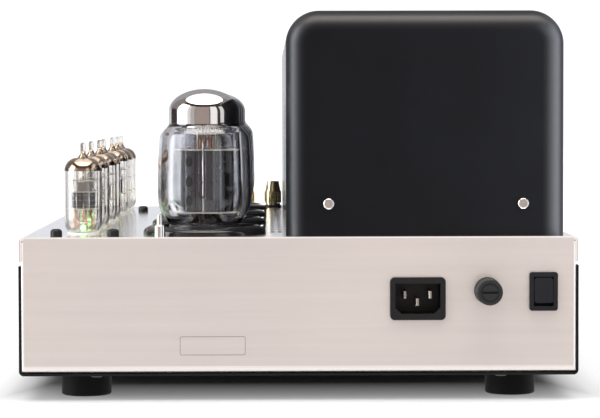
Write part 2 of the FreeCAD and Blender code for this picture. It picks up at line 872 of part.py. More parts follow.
def transformer_bolt(x, y):
    """A long bolt through a core, with the sleeve that holds the core up."""
    z0 = plate_z
    core_z = plate_z + core_lift
    top = core_z + core_stack
    sleeve = rod(core_spacer_radius, x, y, z0, core_z)
    nut_top = plate_z - shell_sheet
    shank = rod(core_bolt_radius, x, y, nut_top - core_bolt_tail, top + weld)
    head = rod(core_bolt_head_radius, x, y, top, top + core_bolt_head_height)
    nut = rod(core_bolt_head_radius, x, y, nut_top - core_bolt_head_height, nut_top)
    return fuse_all([sleeve, shank, head, nut])


# Power tubes: an octal base, a glass envelope and the electrodes on their stem
def power_envelope(shrink):
    """The envelope's outline made solid, smaller by the wall where shrink is the wall."""
    dome_r = power_dome_radius - shrink
    body_r = power_body_radius - shrink
    waist_r = power_waist_radius - shrink
    turn_r = power_foot_turn_radius - shrink
    foot_r = power_glass_foot_radius - shrink
    foot_z = power_glass_foot + shrink
    belly_z = (power_shoulder_bottom + power_body_bottom) / 2.0
    shoulder = smooth(
        [(dome_r, power_neck_bottom), (power_shoulder_radius - shrink, power_shoulder_middle),
         (waist_r, power_shoulder_bottom)],
        (0, 0, -1), (0.05, 0, -1))
    body = smooth(
        [(waist_r, power_shoulder_bottom), (body_r, belly_z), (turn_r, power_body_bottom)],
        (0.05, 0, -1), (-0.35, 0, -1))
    foot = smooth(
        [(turn_r, power_body_bottom), (power_foot_round_radius - shrink, power_foot_round),
         (foot_r, foot_z)],
        (-0.35, 0, -1), (-1, 0, -0.25))
    edges = [
        quarter_ellipse(dome_r, power_dome_height - shrink, power_neck_top),
        line(dome_r, power_neck_top, dome_r, power_neck_bottom),
        shoulder,
        body,
        foot,
        line(foot_r, foot_z, 0, foot_z),
        line(0, foot_z, 0, power_neck_top + power_dome_height - shrink),
    ]
    return edges


def power_glass(y):
    outer = turned(power_envelope(0.0), power_tube_x, y, plate_z)
    inner = turned(power_envelope(power_glass_wall), power_tube_x, y, plate_z)
    return outer.cut(inner)


def rounded_tube(half_x, half_y, corner, wall, z0, z1):
    outer = box(-half_x, half_x, -half_y, half_y, z0, z1)
    outer = outer.makeFillet(corner, edges_along(outer, V(0, 0, 1)))
    low, high = z0 - cut_over, z1 + cut_over
    inner = box(-half_x + wall, half_x - wall, -half_y + wall, half_y - wall, low, high)
    inner = inner.makeFillet(corner - wall, edges_along(inner, V(0, 0, 1)))
    return outer.cut(inner)


def anode_holes():
    """Oval windows through both faces of an anode."""
    holes = []
    reach = anode_half_depth + anode_rib_radius + cut_over
    stretch = FreeCAD.Matrix()
    stretch.scale(anode_hole_width / 2.0, 1.0, anode_hole_height / 2.0)
    for x in (-anode_hole_offset, anode_hole_offset):
        for z in anode_hole_heights:
            hole = rod_y(1.0, 0, 0, -reach, reach).transformGeometry(stretch)
            hole.translate(V(x, 0, z))
            holes.append(hole)
    return holes


def power_electrodes(y):
    anode = rounded_tube(
        anode_half_width, anode_half_depth, anode_corner, anode_wall, anode_bottom, anode_top)
    rib_y = anode_half_depth - anode_wall / 2.0
    ribs = []
    for x in anode_rib_places:
        for side in (-1.0, 1.0):
            ribs.append(rod(anode_rib_radius, x, side * rib_y, anode_bottom, anode_top))
    anode = fuse_all([anode] + ribs).cut(anode_holes())
    lower_mica = rod(mica_radius, 0, 0, anode_bottom - mica_thickness, anode_bottom)
    upper_mica = rod(mica_radius, 0, 0, anode_top, anode_top + mica_thickness)
    clip = box(-mica_radius, mica_radius, -mica_clip_radius, mica_clip_radius, 0, support_rod_top)
    floor_z = power_glass_foot + power_glass_wall
    stem = rod(stem_radius, 0, 0, floor_z, floor_z + stem_sheet)
    stem_rise = Part.makeCone(stem_rise_radius, stem_tip_radius, stem_top - floor_z, V(0, 0, floor_z))
    rods = []
    for x in (-support_rod_offset, 0.0, support_rod_offset):
        rods.append(rod(support_rod_radius, x, 0, floor_z + weld, anode_top + support_rod_reach))
    getter_rod = rod(support_rod_radius, 0, 0, anode_top, support_rod_top)
    ring = getter_ring_radius
    getter = Part.makeTorus(ring, getter_wire_radius, V(ring, 0, support_rod_top))
    bridge_half = bridge_width / 2.0
    bridge = box(
        -anode_half_width, anode_half_width, -bridge_half, bridge_half,
        anode_bottom, anode_bottom + mica_thickness)
    micas = [lower_mica.common(clip), upper_mica.common(clip)]
    whole = fuse_all([anode, stem, stem_rise, getter_rod, getter, bridge] + micas + rods)
    whole.translate(V(power_tube_x, y, plate_z))
    return whole


def pin_places(count, circle):
    """Pins round a circle, with the gap of a missing pin for the nine-pin foot."""
    slots = count if count == octal_pin_count else count + 1
    places = []
    for i in range(count):
        angle = 2.0 * math.pi * (i + 0.5) / slots
        places.append((circle * math.sin(angle), circle * math.cos(angle)))
    return places


def power_base(y):
    cup = rod(power_base_radius, power_tube_x, y, plate_z + power_base_bottom, plate_z + power_base_top)
    low_edge = circle_edges(cup, plate_z + power_base_bottom, power_base_radius)
    cup = cup.makeFillet(power_base_edge, low_edge)
    cup = cup.cut(turned(power_envelope(0.0), power_tube_x, y, plate_z))
    low = plate_z + power_base_bottom
    pins = []
    for dx, dy in pin_places(octal_pin_count, octal_pin_circle):
        tip_z = low - octal_pin_length
        pins.append(rod(octal_pin_radius, power_tube_x + dx, y + dy, tip_z, low + weld))
    key = rod(octal_key_radius, power_tube_x, y, low - octal_key_length, low + weld)
    return fuse_all([cup, key] + pins)


def power_ring(y):
    """A black ring round each power tube's well, domed on top, with a skirt through the plate."""
    skirt_r = power_ring_bore + power_ring_skirt_wall
    low = -shell_sheet - power_ring_skirt
    slope = smooth(
        [(power_ring_radius, power_ring_rim), (power_ring_slope_radius, power_ring_slope_height),
         (power_ring_crest, power_ring_height)],
        (-0.2, 0, 1), (-1, 0, 0.15))
    inner_z = power_ring_height - power_ring_inner_drop
    edges = [
        line(power_ring_bore, low, power_ring_bore, inner_z),
        line(power_ring_bore, inner_z, power_ring_crest, power_ring_height),
        slope,
        line(power_ring_radius, power_ring_rim, power_ring_radius, 0),
        line(power_ring_radius, 0, skirt_r, 0),
        line(skirt_r, 0, skirt_r, low),
        line(skirt_r, low, power_ring_bore, low),
    ]
    return turned(edges, power_tube_x, y, plate_z)


def power_socket(y):
    """A ceramic octal socket standing on the circuit board."""
    top = plate_z + power_base_bottom
    body = rod(power_socket_radius, power_tube_x, y, board_top, top)
    ear = power_socket_ear
    ear_half = power_socket_ear_width / 2.0
    flange = box(
        power_tube_x - ear_half, power_tube_x + ear_half, y - ear, y + ear,
        board_top, board_top + power_socket_ear_sheet)
    cuts = []
    pin_r = octal_pin_radius + pin_clearance
    low, high = top - octal_pin_length - cut_over, top + cut_over
    for dx, dy in pin_places(octal_pin_count, octal_pin_circle):
        cuts.append(rod(pin_r, power_tube_x + dx, y + dy, low, high))
    key_r = octal_key_radius + pin_clearance
    cuts.append(rod(key_r, power_tube_x, y, board_top - cut_over, high))
    return fuse_all([body, flange]).cut(cuts)


# Signal tubes: a nine-pin glass with its electrodes and pins
def signal_envelope(shrink):
    r = signal_glass_radius - shrink
    low = signal_glass_bottom + shrink
    foot_r = signal_glass_foot_radius - shrink
    dome = signal_dome_top - shrink
    arc_r = signal_dome_radius
    cone_r = signal_tip_cone_radius - shrink
    round_z = low + signal_glass_round
    foot_turn = (r - signal_foot_turn_in, low + signal_foot_turn_up)
    dome_turn = (r - signal_dome_turn_in, dome - signal_dome_turn_down)
    edges = [
        line(0, low, foot_r, low),
        smooth([(foot_r, low), foot_turn, (r, round_z)], (1, 0, 0.15), (0, 0, 1)),
        line(r, round_z, r, dome - arc_r),
        smooth([(r, dome - arc_r), dome_turn, (cone_r, dome)], (0, 0, 1), (-1, 0, 0.12)),
    ]
    if shrink > 0.0:
        edges += [line(cone_r, dome, 0, dome), line(0, dome, 0, low)]
        return edges
    tip = signal_tip_radius
    middle = (tip + (cone_r - tip) * 0.3, (dome + signal_tip_cone_top) / 2.0)
    edges += [
        smooth([(cone_r, dome), middle, (tip, signal_tip_cone_top)], (-1, 0, 0.2), (-0.1, 0, 1)),
        line(tip, signal_tip_cone_top, tip, signal_tip_top - tip),
        Part.Arc(
            V(tip, 0, signal_tip_top - tip),
            V(tip * math.sqrt(0.5), 0, signal_tip_top - tip + tip * math.sqrt(0.5)),
            V(0, 0, signal_tip_top)).toShape(),
        line(0, signal_tip_top, 0, low),
    ]
    return edges


def signal_glass(y):
    outer = turned(signal_envelope(0.0), signal_tube_x, y, plate_z)
    inner = turned(signal_envelope(signal_glass_wall), signal_tube_x, y, plate_z)
    return outer.cut(inner)


def signal_electrodes(y):
    floor_z = signal_glass_bottom + signal_glass_wall
    shapes = []
    for side in (-1.0, 1.0):
        half = (signal_anode_half_width - signal_anode_gap) / 2.0
        x = side * signal_anode_half_width / 2.0
        depth = signal_anode_half_depth
        shapes.append(box(x - half, x + half, -depth, depth, signal_anode_bottom, signal_anode_top))
    shield = signal_shield_half_width
    shield_y = signal_shield_half_depth
    shapes.append(box(-shield, shield, -shield_y, shield_y, signal_anode_top, signal_shield_top))
    for z in signal_mica_heights:
        shapes.append(rod(signal_mica_radius, 0, 0, z, z + mica_thickness))
    for x in (-signal_rod_offset, signal_rod_offset):
        shapes.append(rod(signal_rod_radius, x, 0, floor_z, signal_mica_heights[2] + signal_rod_reach))
    shapes.append(rod(signal_rod_radius, 0, 0, signal_shield_top, signal_getter_height))
    ring = signal_getter_ring_radius
    shapes.append(Part.makeTorus(ring, signal_getter_wire_radius, V(ring, 0, signal_getter_height)))
    whole = fuse_all(shapes)
    whole.translate(V(signal_tube_x, y, plate_z))
    pins = []
    low = plate_z + signal_glass_bottom
    for dx, dy in pin_places(noval_pin_count, noval_pin_circle):
        pins.append(rod(noval_pin_radius, signal_tube_x + dx, y + dy, low - noval_pin_length, low))
    return group([whole] + pins)


def signal_socket(y):
    """A tall ceramic socket on the board, with its rim just above the plate."""
    top = plate_z + signal_socket_rim
    body = rod(signal_socket_radius, signal_tube_x, y, board_top, top)
    rim = rod(signal_socket_rim_radius, signal_tube_x, y, plate_z, top)
    high = top + cut_over
    cuts = [rod(lamp_flange_radius + lamp_gap, signal_tube_x, y, board_top - cut_over, high)]
    pin_r = noval_pin_radius + pin_clearance
    for dx, dy in pin_places(noval_pin_count, noval_pin_circle):
        cuts.append(rod(pin_r, signal_tube_x + dx, y + dy, top - noval_pin_length - cut_over, high))
    return fuse_all([body, rim]).cut(cuts)


def socket_lamp(y):
    """A small lamp that lights the tube from the socket's centre, standing on the board."""
    top = plate_z + signal_socket_rim - lamp_drop
    stalk = rod(lamp_radius, signal_tube_x, y, board_top, top)
    stalk = stalk.makeFillet(lamp_round, circle_edges(stalk, top, lamp_radius))
    flange = rod(lamp_flange_radius, signal_tube_x, y, board_top, board_top + lamp_flange)
    return stalk.fuse(flange)


# Inside the case
def circuit_board():
    y0, y1 = near_y + board_end_margin, far_y - board_end_margin
    board = box(board_left, board_right, y0, y1, board_bottom, board_top)
    board = board.makeFillet(board_corner, edges_along(board, V(0, 0, 1)))
    holes = []
    for x in (post_left_x, post_right_x):
        for y in board_post_ys:
            holes.append(rod(post_bore_radius, x, y, board_bottom - cut_over, board_top + cut_over))
    return board.cut(holes)


def capacitor(x, y):
    can = rod(capacitor_radius, x, y, board_bottom - capacitor_height, board_bottom)
    rim = circle_edges(can, board_bottom - capacitor_height, capacitor_radius)
    return can.makeFillet(capacitor_edge, rim)


def plate_screw(y):
    """A small screw through the plate into a board post."""
    head = rod(plate_screw_head_radius, post_right_x, y, plate_z, plate_z + plate_screw_head_height)
    round_edge = circle_edges(head, plate_z + plate_screw_head_height, plate_screw_head_radius)
    head = head.makeFillet(plate_screw_head_height / 3.0, round_edge)
    shank = rod(plate_screw_radius, post_right_x, y, plate_z - plate_screw_length, plate_z + weld)
    return head.fuse(shank)


def board_screw(x, y):
    """The same screw from below, through the board into its post."""
    head = rod(plate_screw_head_radius, x, y, board_bottom - plate_screw_head_height, board_bottom)
    tip_z = board_bottom + plate_screw_length
    shank = rod(plate_screw_radius, x, y, board_bottom - weld, tip_z)
    return head.fuse(shank)


# Plugs and posts that the tube guard fits on
def guard_plug(x, y):
    head = rod(guard_plug_radius, x, y, plate_z, plate_z + guard_plug_height)
    top_edge = circle_edges(head, plate_z + guard_plug_height, guard_plug_radius)
    head = head.makeFillet(guard_plug_edge, top_edge)
    stem = rod(guard_plug_stem_radius, x, y, plate_z - guard_plug_stem, plate_z + weld)
    return head.fuse(stem)


def guard_post(y):
    foot = rod(guard_post_radius, guard_post_x, y, plate_z, plate_z + guard_post_height)
    top_edge = circle_edges(foot, plate_z + guard_post_height, guard_post_radius)
    foot = foot.makeChamfer(guard_post_chamfer, top_edge)
    low, high = plate_z - shell_sheet - guard_post_tail, plate_z + guard_post_tip_top
    tip = rod(guard_post_tip_radius, guard_post_x, y, low, high)
    return foot.fuse(tip)


# Near end panel: mains inlet, fuse holder, automatic-off switch
def power_inlet():
    z = pan_z + inlet_height
    flange = box(
        inlet_x - inlet_width / 2.0, inlet_x + inlet_width / 2.0, near_y - inlet_flange, near_y,
        z - inlet_tall / 2.0, z + inlet_tall / 2.0)
    flange = flange.makeFillet(inlet_corner, edges_along(flange, V(0, 1, 0)))
    back_y = near_y + inlet_body_depth
    body = panel_window(inlet_x, z, inlet_body_width, inlet_body_tall, near_y - weld, back_y)
    mouth_y = near_y - inlet_flange
    recess = panel_window(
        inlet_x, z, inlet_recess_width, inlet_recess_tall,
        mouth_y - cut_over, mouth_y + inlet_recess_depth)
    lower = edges_along(recess, V(0, 1, 0), lambda m: m.z < z)
    recess = recess.makeChamfer(inlet_recess_chamfer, lower)
    blade_cuts = [blade(dx, dz) for dx, dz in blade_places()]
    return fuse_all([flange, body]).cut(recess).cut(blade_cuts)


def blade_places():
    return ((-blade_spacing, blade_offset), (blade_spacing, blade_offset), (0.0, -blade_offset))


def blade(dx, dz):
    z = pan_z + inlet_height + dz
    front = near_y - inlet_flange + blade_setback
    back = near_y + inlet_body_depth + blade_tail
    solid = panel_window(inlet_x + dx, z, blade_width, blade_tall, front, back)
    tip = edges_along(solid, V(0, 0, 1), lambda m: m.y < front + touch)
    return solid.makeChamfer(blade_width / 4.0, tip)


def fuse_holder():
    z = pan_z + fuse_height
    flange = rod_y(fuse_flange_radius, fuse_x, z, near_y - fuse_flange, near_y)
    body = rod_y(fuse_body_radius, fuse_x, z, near_y - weld, near_y + fuse_body_depth)
    mouth_y = near_y - fuse_flange - cut_over
    bore = rod_y(fuse_bore_radius, fuse_x, z, mouth_y, near_y + fuse_bore_depth)
    return fuse_all([flange, body]).cut(bore)


def fuse_cap():
    z = pan_z + fuse_height
    face_y = near_y - fuse_flange - fuse_cap_length
    knob = rod_y(fuse_cap_radius, fuse_x, z, face_y, near_y - fuse_flange)
    knob = knob.makeFillet(fuse_cap_edge, rim_edges(knob, face_y))
    plug_start = near_y - fuse_flange
    plug_end = plug_start + fuse_plug_length
    plug = rod_y(fuse_bore_radius - pin_clearance, fuse_x, z, plug_start - weld, plug_end)
    front_y = face_y - cut_over
    groove = rod_y(fuse_cap_groove_outer, fuse_x, z, front_y, face_y + fuse_cap_groove_depth)
    groove = groove.cut(rod_y(fuse_cap_groove_inner, fuse_x, z, front_y, face_y + cut_over))
    half = fuse_slot_length / 2.0
    slot = box(fuse_x - half, fuse_x + half, front_y, face_y + fuse_slot_depth,
               z - fuse_slot_width / 2.0, z + fuse_slot_width / 2.0)
    pocket_r = fuse_cartridge_radius + pin_clearance
    pocket = rod_y(pocket_r, fuse_x, z, plug_end - fuse_cartridge_hold, plug_end + cut_over)
    return fuse_all([knob, plug]).cut([groove, slot, pocket])


def fuse_cartridge():
    z = pan_z + fuse_height
    start = near_y - fuse_flange + fuse_plug_length - fuse_cartridge_hold + fuse_end_gap
    return rod_y(fuse_cartridge_radius, fuse_x, z, start, start + fuse_cartridge_length)


def switch_frame(x, panel_y, outward):
    """A bezel and body for a rocker switch, outward being the way that its front faces along Y."""
    z = pan_z + switch_height
    front = panel_y + outward * switch_bezel
    back = panel_y - outward * switch_body_depth
    bezel = panel_window(x, z, switch_width, switch_tall, min(front, panel_y), max(front, panel_y))
    bezel = bezel.makeFillet(switch_corner, edges_along(bezel, V(0, 1, 0)))
    inside = panel_y + outward * weld
    body = panel_window(x, z, switch_body_width, switch_body_tall, min(inside, back), max(inside, back))
    well_y = panel_y - outward * switch_well_depth
    mouth_y = front + outward * cut_over
    well = panel_window(
        x, z, rocker_width + 2.0 * rocker_gap, rocker_tall + 2.0 * rocker_end_gap,
        min(well_y, mouth_y), max(well_y, mouth_y))
    axle_y = panel_y - outward * rocker_axle_inset
    reach = rocker_width / 2.0 + rocker_axle_overhang + rocker_gap
    axle_hole = Part.makeCylinder(
        rocker_axle_radius + rocker_axle_clearance, 2.0 * reach, V(x - reach, axle_y, z), V(1, 0, 0))
    return fuse_all([bezel, body]).cut([well, axle_hole])


def rocker(x, panel_y, outward):
    """A rocker whose face is two flats that meet in a shallow valley, with its upper half pressed in."""
    z = pan_z + switch_height
    axle_y = panel_y - outward * rocker_axle_inset
    half = rocker_tall / 2.0
    valley = rocker_axle_inset + switch_bezel + rocker_proud
    end = valley + half * math.tan(math.radians(rocker_tilt))
    back = -rocker_depth / 2.0
    outline = [(end, -half), (valley, 0.0), (end, half), (back, half / 2.0), (back, -half / 2.0)]
    points = [V(x - rocker_width / 2.0, axle_y + outward * depth, z + rise) for depth, rise in outline]
    face = Part.Face(Part.makePolygon(points + points[:1]))
    body = face.extrude(V(rocker_width, 0, 0))
    corners = [edge for edge in body.Edges if abs(edge.BoundBox.XLength) < touch
               and edge.BoundBox.YLength > rocker_depth / 2.0 and edge.BoundBox.ZLength < rocker_depth]
    body = body.makeFillet(rocker_corner, corners)
    reach = rocker_width / 2.0 + rocker_axle_overhang
    axle = Part.makeCylinder(rocker_axle_radius, 2.0 * reach, V(x - reach, axle_y, z), V(1, 0, 0))
    whole = body.fuse(axle)
    whole.rotate(V(x, axle_y, z), V(1, 0, 0), outward * rocker_tilt)
    return whole


# Far end panel: input jacks
def input_jack(x):
    z = pan_z + jack_height
    tail_y = far_y - shell_sheet - jack_tail
    end_y = far_y + jack_reach
    barrel = rod_y(jack_radius, x, z, far_y - weld, end_y)
    nut = rod_y(jack_nut_radius, x, z, far_y, far_y + jack_nut)
    thread = rod_y(jack_thread_radius, x, z, tail_y, far_y + weld)
    ring = rod_y(jack_nut_radius, x, z, far_y - shell_sheet - jack_nut, far_y - shell_sheet)
    cup = rod_y(jack_radius - jack_wall, x, z, end_y - jack_insert_setback, end_y + cut_over)
    contact = rod_y(jack_contact_radius, x, z, end_y - jack_contact_depth, end_y + cut_over)
    return fuse_all([barrel, nut, thread, ring]).cut([cup, contact])


# Loudspeaker posts on the top plate
def terminal_stud(x):
    """A hollow stud for a banana plug, with a collar under the cap and a tail below the plate."""
    collar_z = plate_z + terminal_insulator_height
    top = plate_z + terminal_stud_top
    shaft = rod(terminal_stud_radius, x, terminal_y, plate_z - terminal_stud_depth, top)
    collar = rod(terminal_collar_radius, x, terminal_y, collar_z, collar_z + terminal_collar_height)
    nut_z = plate_z - terminal_insulator_depth - shell_sheet
    nut = rod(terminal_collar_radius, x, terminal_y, nut_z - terminal_nut_height, nut_z)
    bore = rod(terminal_bore_radius, x, terminal_y, top - terminal_bore_depth, top + cut_over)
    return fuse_all([shaft, collar, nut]).cut(bore)


def terminal_insulator(x):
    """Insulating washers above and below the plate, joined through its hole."""
    top = rod(terminal_flange_radius, x, terminal_y, plate_z, plate_z + terminal_insulator_height)
    neck = rod(terminal_insulator_neck, x, terminal_y, plate_z - shell_sheet, plate_z + weld)
    low = plate_z - shell_sheet
    under = rod(terminal_flange_radius, x, terminal_y, low - terminal_insulator_depth, low)
    hole_z = low - terminal_insulator_depth - cut_over
    hole = rod(terminal_stud_radius, x, terminal_y, hole_z, plate_z + terminal_stud_top)
    return fuse_all([top, neck, under]).cut(hole)


def terminal_cap(x):
    """A knurled screw cap with a tapered top, open in the middle for the plug."""
    base = plate_z + terminal_insulator_height + terminal_collar_height + clear_gap
    shoulder = plate_z + terminal_cap_shoulder
    top = plate_z + terminal_cap_top
    drum = rod(terminal_cap_radius, x, terminal_y, base, shoulder)
    foot = V(x, terminal_y, shoulder)
    taper = Part.makeCone(terminal_cap_neck_radius, terminal_cap_top_radius, top - shoulder, foot)
    cap = fuse_all([drum, taper])
    hole_r = terminal_stud_radius + pin_clearance
    hole = rod(hole_r, x, terminal_y, base - cut_over, top + cut_over)
    grooves = []
    for i in range(terminal_knurl_count):
        angle = 2.0 * math.pi * i / terminal_knurl_count
        gx = x + terminal_cap_radius * math.cos(angle)
        gy = terminal_y + terminal_cap_radius * math.sin(angle)
        low, high = base + terminal_knurl_margin, shoulder - terminal_knurl_margin
        grooves.append(rod(terminal_knurl_radius, gx, gy, low, high))
    return cap.cut(grooves + [hole])


def fixed_pieces():
    save("chassis_shell", chassis_shell())
    save("bottom_cover", bottom_cover())
    save("rubber_feet", group([rubber_foot(x, y) for x in foot_xs for y in foot_ys]))
    under = [foot_screw(x, y) for x in foot_xs for y in foot_ys]
    save("case_screws", group(under + [case_screw(x, y) for x in case_screw_xs for y in case_screw_ys]))
    for index, name in enumerate(("near", "middle", "far")):
        save("transformer_cover_" + name, transformer_cover(index))
    bright = [cover_end_screw(x, y, way) for y, way in end_screw_walls() for x in cover_end_screw_xs()]
    bright += [cover_flange_screw(x, y) for x, y in cover_flange_screws()]
    bright += [plate_screw(y) for y in board_post_ys]
    bright += [board_screw(x, y) for x in (post_left_x, post_right_x) for y in board_post_ys]
    save("chrome_screws", group(bright))
    save("transformer_cores", group([transformer_core(i) for i in range(3)]))
    save("transformer_windings", group([transformer_winding(i) for i in range(3)]))
    hidden = [transformer_bolt(x, y) for x, y in core_bolt_places()]
    hidden += [cover_bracket(x, y, way) for y, way in end_screw_walls() for x in cover_end_screw_xs()]
    save("transformer_fixings", group(hidden))
    save("power_tube_sockets", group([power_socket(y) for y in power_tube_ys]))
    save("power_tube_rings", group([power_ring(y) for y in power_tube_ys]))
    save("signal_tube_sockets", group([signal_socket(y) for y in signal_tube_ys]))
    save("socket_lamps", group([socket_lamp(y) for y in signal_tube_ys]))
    save("circuit_board", circuit_board())
    save("filter_capacitors", group([capacitor(x, y) for x, y in capacitor_places]))
    save("guard_plugs", group([guard_plug(x, y) for x in guard_plug_xs for y in guard_plug_ys]))
    save("guard_posts", group([guard_post(y) for y in guard_post_ys]))
    save("power_inlet", power_inlet())
    save("inlet_blades", group([blade(dx, dz) for dx, dz in blade_places()]))
    save("fuse_holder", fuse_holder())
    frames = [switch_frame(near_switch_x, near_y, -1.0), switch_frame(far_switch_x, far_y, 1.0)]
    save("switch_frames", group(frames))
    save("input_jacks", group([input_jack(x) for x in jack_xs]))
    save("terminal_studs", group([terminal_stud(x) for x in terminal_xs]))
    save("terminal_insulators", group([terminal_insulator(x) for x in terminal_xs]))


def moving_pieces():
    for index, y in enumerate(power_tube_ys):
        name = "power_tube_" + str(index + 1)
        save(name + "_glass", power_glass(y))
        save(name + "_electrodes", power_electrodes(y))
        save(name + "_base", power_base(y))
    for index, y in enumerate(signal_tube_ys):
        name = "signal_tube_" + str(index + 1)
        save(name + "_glass", signal_glass(y))
        save(name + "_electrodes", signal_electrodes(y))
    for index, x in enumerate(terminal_xs):
        save("terminal_cap_" + str(index + 1), terminal_cap(x))
    save("fuse_cap", fuse_cap())
    save("fuse_cartridge", fuse_cartridge())
    save("auto_off_rocker", rocker(near_switch_x, near_y, -1.0))
    save("power_rocker", rocker(far_switch_x, far_y, 1.0))


fixed_pieces()
moving_pieces()
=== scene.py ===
import math

import bmesh
import bpy
from mathutils import Matrix, Vector


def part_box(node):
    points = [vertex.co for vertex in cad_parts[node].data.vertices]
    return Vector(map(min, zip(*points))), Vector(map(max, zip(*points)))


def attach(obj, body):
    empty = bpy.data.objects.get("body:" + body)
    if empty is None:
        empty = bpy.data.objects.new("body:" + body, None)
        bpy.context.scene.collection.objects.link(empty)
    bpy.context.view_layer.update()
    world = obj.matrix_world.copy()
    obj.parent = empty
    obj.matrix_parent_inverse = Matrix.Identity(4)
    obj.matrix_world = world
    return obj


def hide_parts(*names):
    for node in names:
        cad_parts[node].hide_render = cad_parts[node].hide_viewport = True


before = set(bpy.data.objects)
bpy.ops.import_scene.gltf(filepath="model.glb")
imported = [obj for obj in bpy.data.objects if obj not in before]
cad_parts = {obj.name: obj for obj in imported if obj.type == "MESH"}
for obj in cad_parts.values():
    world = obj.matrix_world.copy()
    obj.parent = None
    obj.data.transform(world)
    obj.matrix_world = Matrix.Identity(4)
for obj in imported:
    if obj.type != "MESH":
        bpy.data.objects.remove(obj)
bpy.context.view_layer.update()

MM = 0.001
power_tube_count = 4
signal_tube_count = 7


# Places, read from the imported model, in millimetres
def middle(node):
    low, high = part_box(node)
    return (low + high) / 2.0 / MM


plate_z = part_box("transformer_cover_near")[0].z / MM
panel_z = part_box("chassis_shell")[0].z / MM
pan_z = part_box("bottom_cover")[0].z / MM
near_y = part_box("bottom_cover")[0].y / MM
far_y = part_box("bottom_cover")[1].y / MM
half_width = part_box("bottom_cover")[1].x / MM


# Node helpers; an owner is a material or the world. A mix node's colour sockets go by their places
colour_under = 6
colour_over = 7
colour_result = 2


def join(owner, source, target):
    owner.node_tree.links.new(source, target)


def give(owner, socket, value):
    """Sets a socket to a number or a colour, or links it to another node's output."""
    if isinstance(value, float):
        socket.default_value = value
    elif isinstance(value, tuple):
        socket.default_value = (*value, 1.0)
    else:
        join(owner, value, socket)


def add_node(owner, kind, **inputs):
    node = owner.node_tree.nodes.new(kind)
    for key, value in inputs.items():
        node.inputs[key.replace("_", " ")].default_value = value
    return node


def maths(owner, operation, *values):
    node = add_node(owner, "ShaderNodeMath")
    node.operation = operation
    for socket, value in zip(node.inputs, values):
        give(owner, socket, value)
    return node.outputs["Value"]


def mix(owner, amount, under, over):
    """A colour that goes from under to over."""
    node = add_node(owner, "ShaderNodeMix")
    node.data_type = "RGBA"
    give(owner, node.inputs["Factor"], amount)
    give(owner, node.inputs[colour_under], under)
    give(owner, node.inputs[colour_over], over)
    return node.outputs[colour_result]


def spread(owner, source, low, high, from_low=0.3, from_high=0.7, kind="LINEAR"):
    """Goes from low to high while the source goes from from_low to from_high."""
    node = add_node(owner, "ShaderNodeMapRange")
    node.interpolation_type = kind
    node.inputs["From Min"].default_value = from_low
    node.inputs["From Max"].default_value = from_high
    node.inputs["To Min"].default_value = low
    node.inputs["To Max"].default_value = high
    join(owner, source, node.inputs["Value"])
    return node.outputs["Result"]


# Material helpers
def new_material(name, colour, metallic=0.0, roughness=0.5, **sockets):
    """A material with its plain values, which stay on the sockets that a texture drives later."""
    made = bpy.data.materials.new(name)
    made.use_nodes = True
    shader = shader_of(made)
    shader.inputs["Base Color"].default_value = (*colour, 1.0)
    shader.inputs["Metallic"].default_value = metallic
    shader.inputs["Roughness"].default_value = roughness
    for key, value in sockets.items():
        shader.inputs[key.replace("_", " ")].default_value = value
    return made


def shader_of(material):
    return material.node_tree.nodes["Principled BSDF"]


def noise(material, scale, detail=3.0, stretch=(1.0, 1.0, 1.0)):
    """Noise over the object's own coordinates, stretched along some axes."""
    place = add_node(material, "ShaderNodeTexCoord")
    mapping = add_node(material, "ShaderNodeMapping", Scale=stretch)
    texture = add_node(material, "ShaderNodeTexNoise", Scale=scale, Detail=detail)
    join(material, place.outputs["Object"], mapping.inputs["Vector"])
    join(material, mapping.outputs["Vector"], texture.inputs["Vector"])
    return texture.outputs["Fac"]


def ramp(material, source, stops):
    """Colours along a value; each stop is (place, colour)."""
    node = add_node(material, "ShaderNodeValToRGB")
    for element, (place, colour) in zip(node.color_ramp.elements, stops):
        element.position = place
        element.color = (*colour, 1.0)
    join(material, source, node.inputs["Fac"])
    return node.outputs["Color"]


def shades(colour, darker, lighter, places=(0.3, 0.7)):
    """Two stops of a ramp round a colour."""
    low = tuple(c * darker for c in colour)
    high = tuple(min(c * lighter, 1.0) for c in colour)
    return list(zip(places, (low, high)))


def colour_from(material, source, stops):
    join(material, ramp(material, source, stops), shader_of(material).inputs["Base Color"])


def roughness_from(material, source, low, high):
    join(material, spread(material, source, low, high), shader_of(material).inputs["Roughness"])


def bump_from(material, source, strength, distance=0.2):
    """Bumps over the surface; the distance is in millimetres."""
    node = add_node(material, "ShaderNodeBump", Strength=strength, Distance=distance * MM)
    join(material, source, node.inputs["Height"])
    join(material, node.outputs["Normal"], shader_of(material).inputs["Normal"])


def normal_parts(material):
    """The size of the surface normal's X, Y and Z in the object's own axes."""
    place = add_node(material, "ShaderNodeTexCoord")
    parts = add_node(material, "ShaderNodeSeparateXYZ")
    join(material, place.outputs["Normal"], parts.inputs["Vector"])
    return [maths(material, "ABSOLUTE", parts.outputs[axis]) for axis in "XYZ"]


def place_parts(material):
    """How far the shaded place lies aside, along and up, in metres; aside has no sign."""
    place = add_node(material, "ShaderNodeNewGeometry")
    parts = add_node(material, "ShaderNodeSeparateXYZ")
    join(material, place.outputs["Position"], parts.inputs["Vector"])
    return maths(material, "ABSOLUTE", parts.outputs["X"]), parts.outputs["Y"], parts.outputs["Z"]


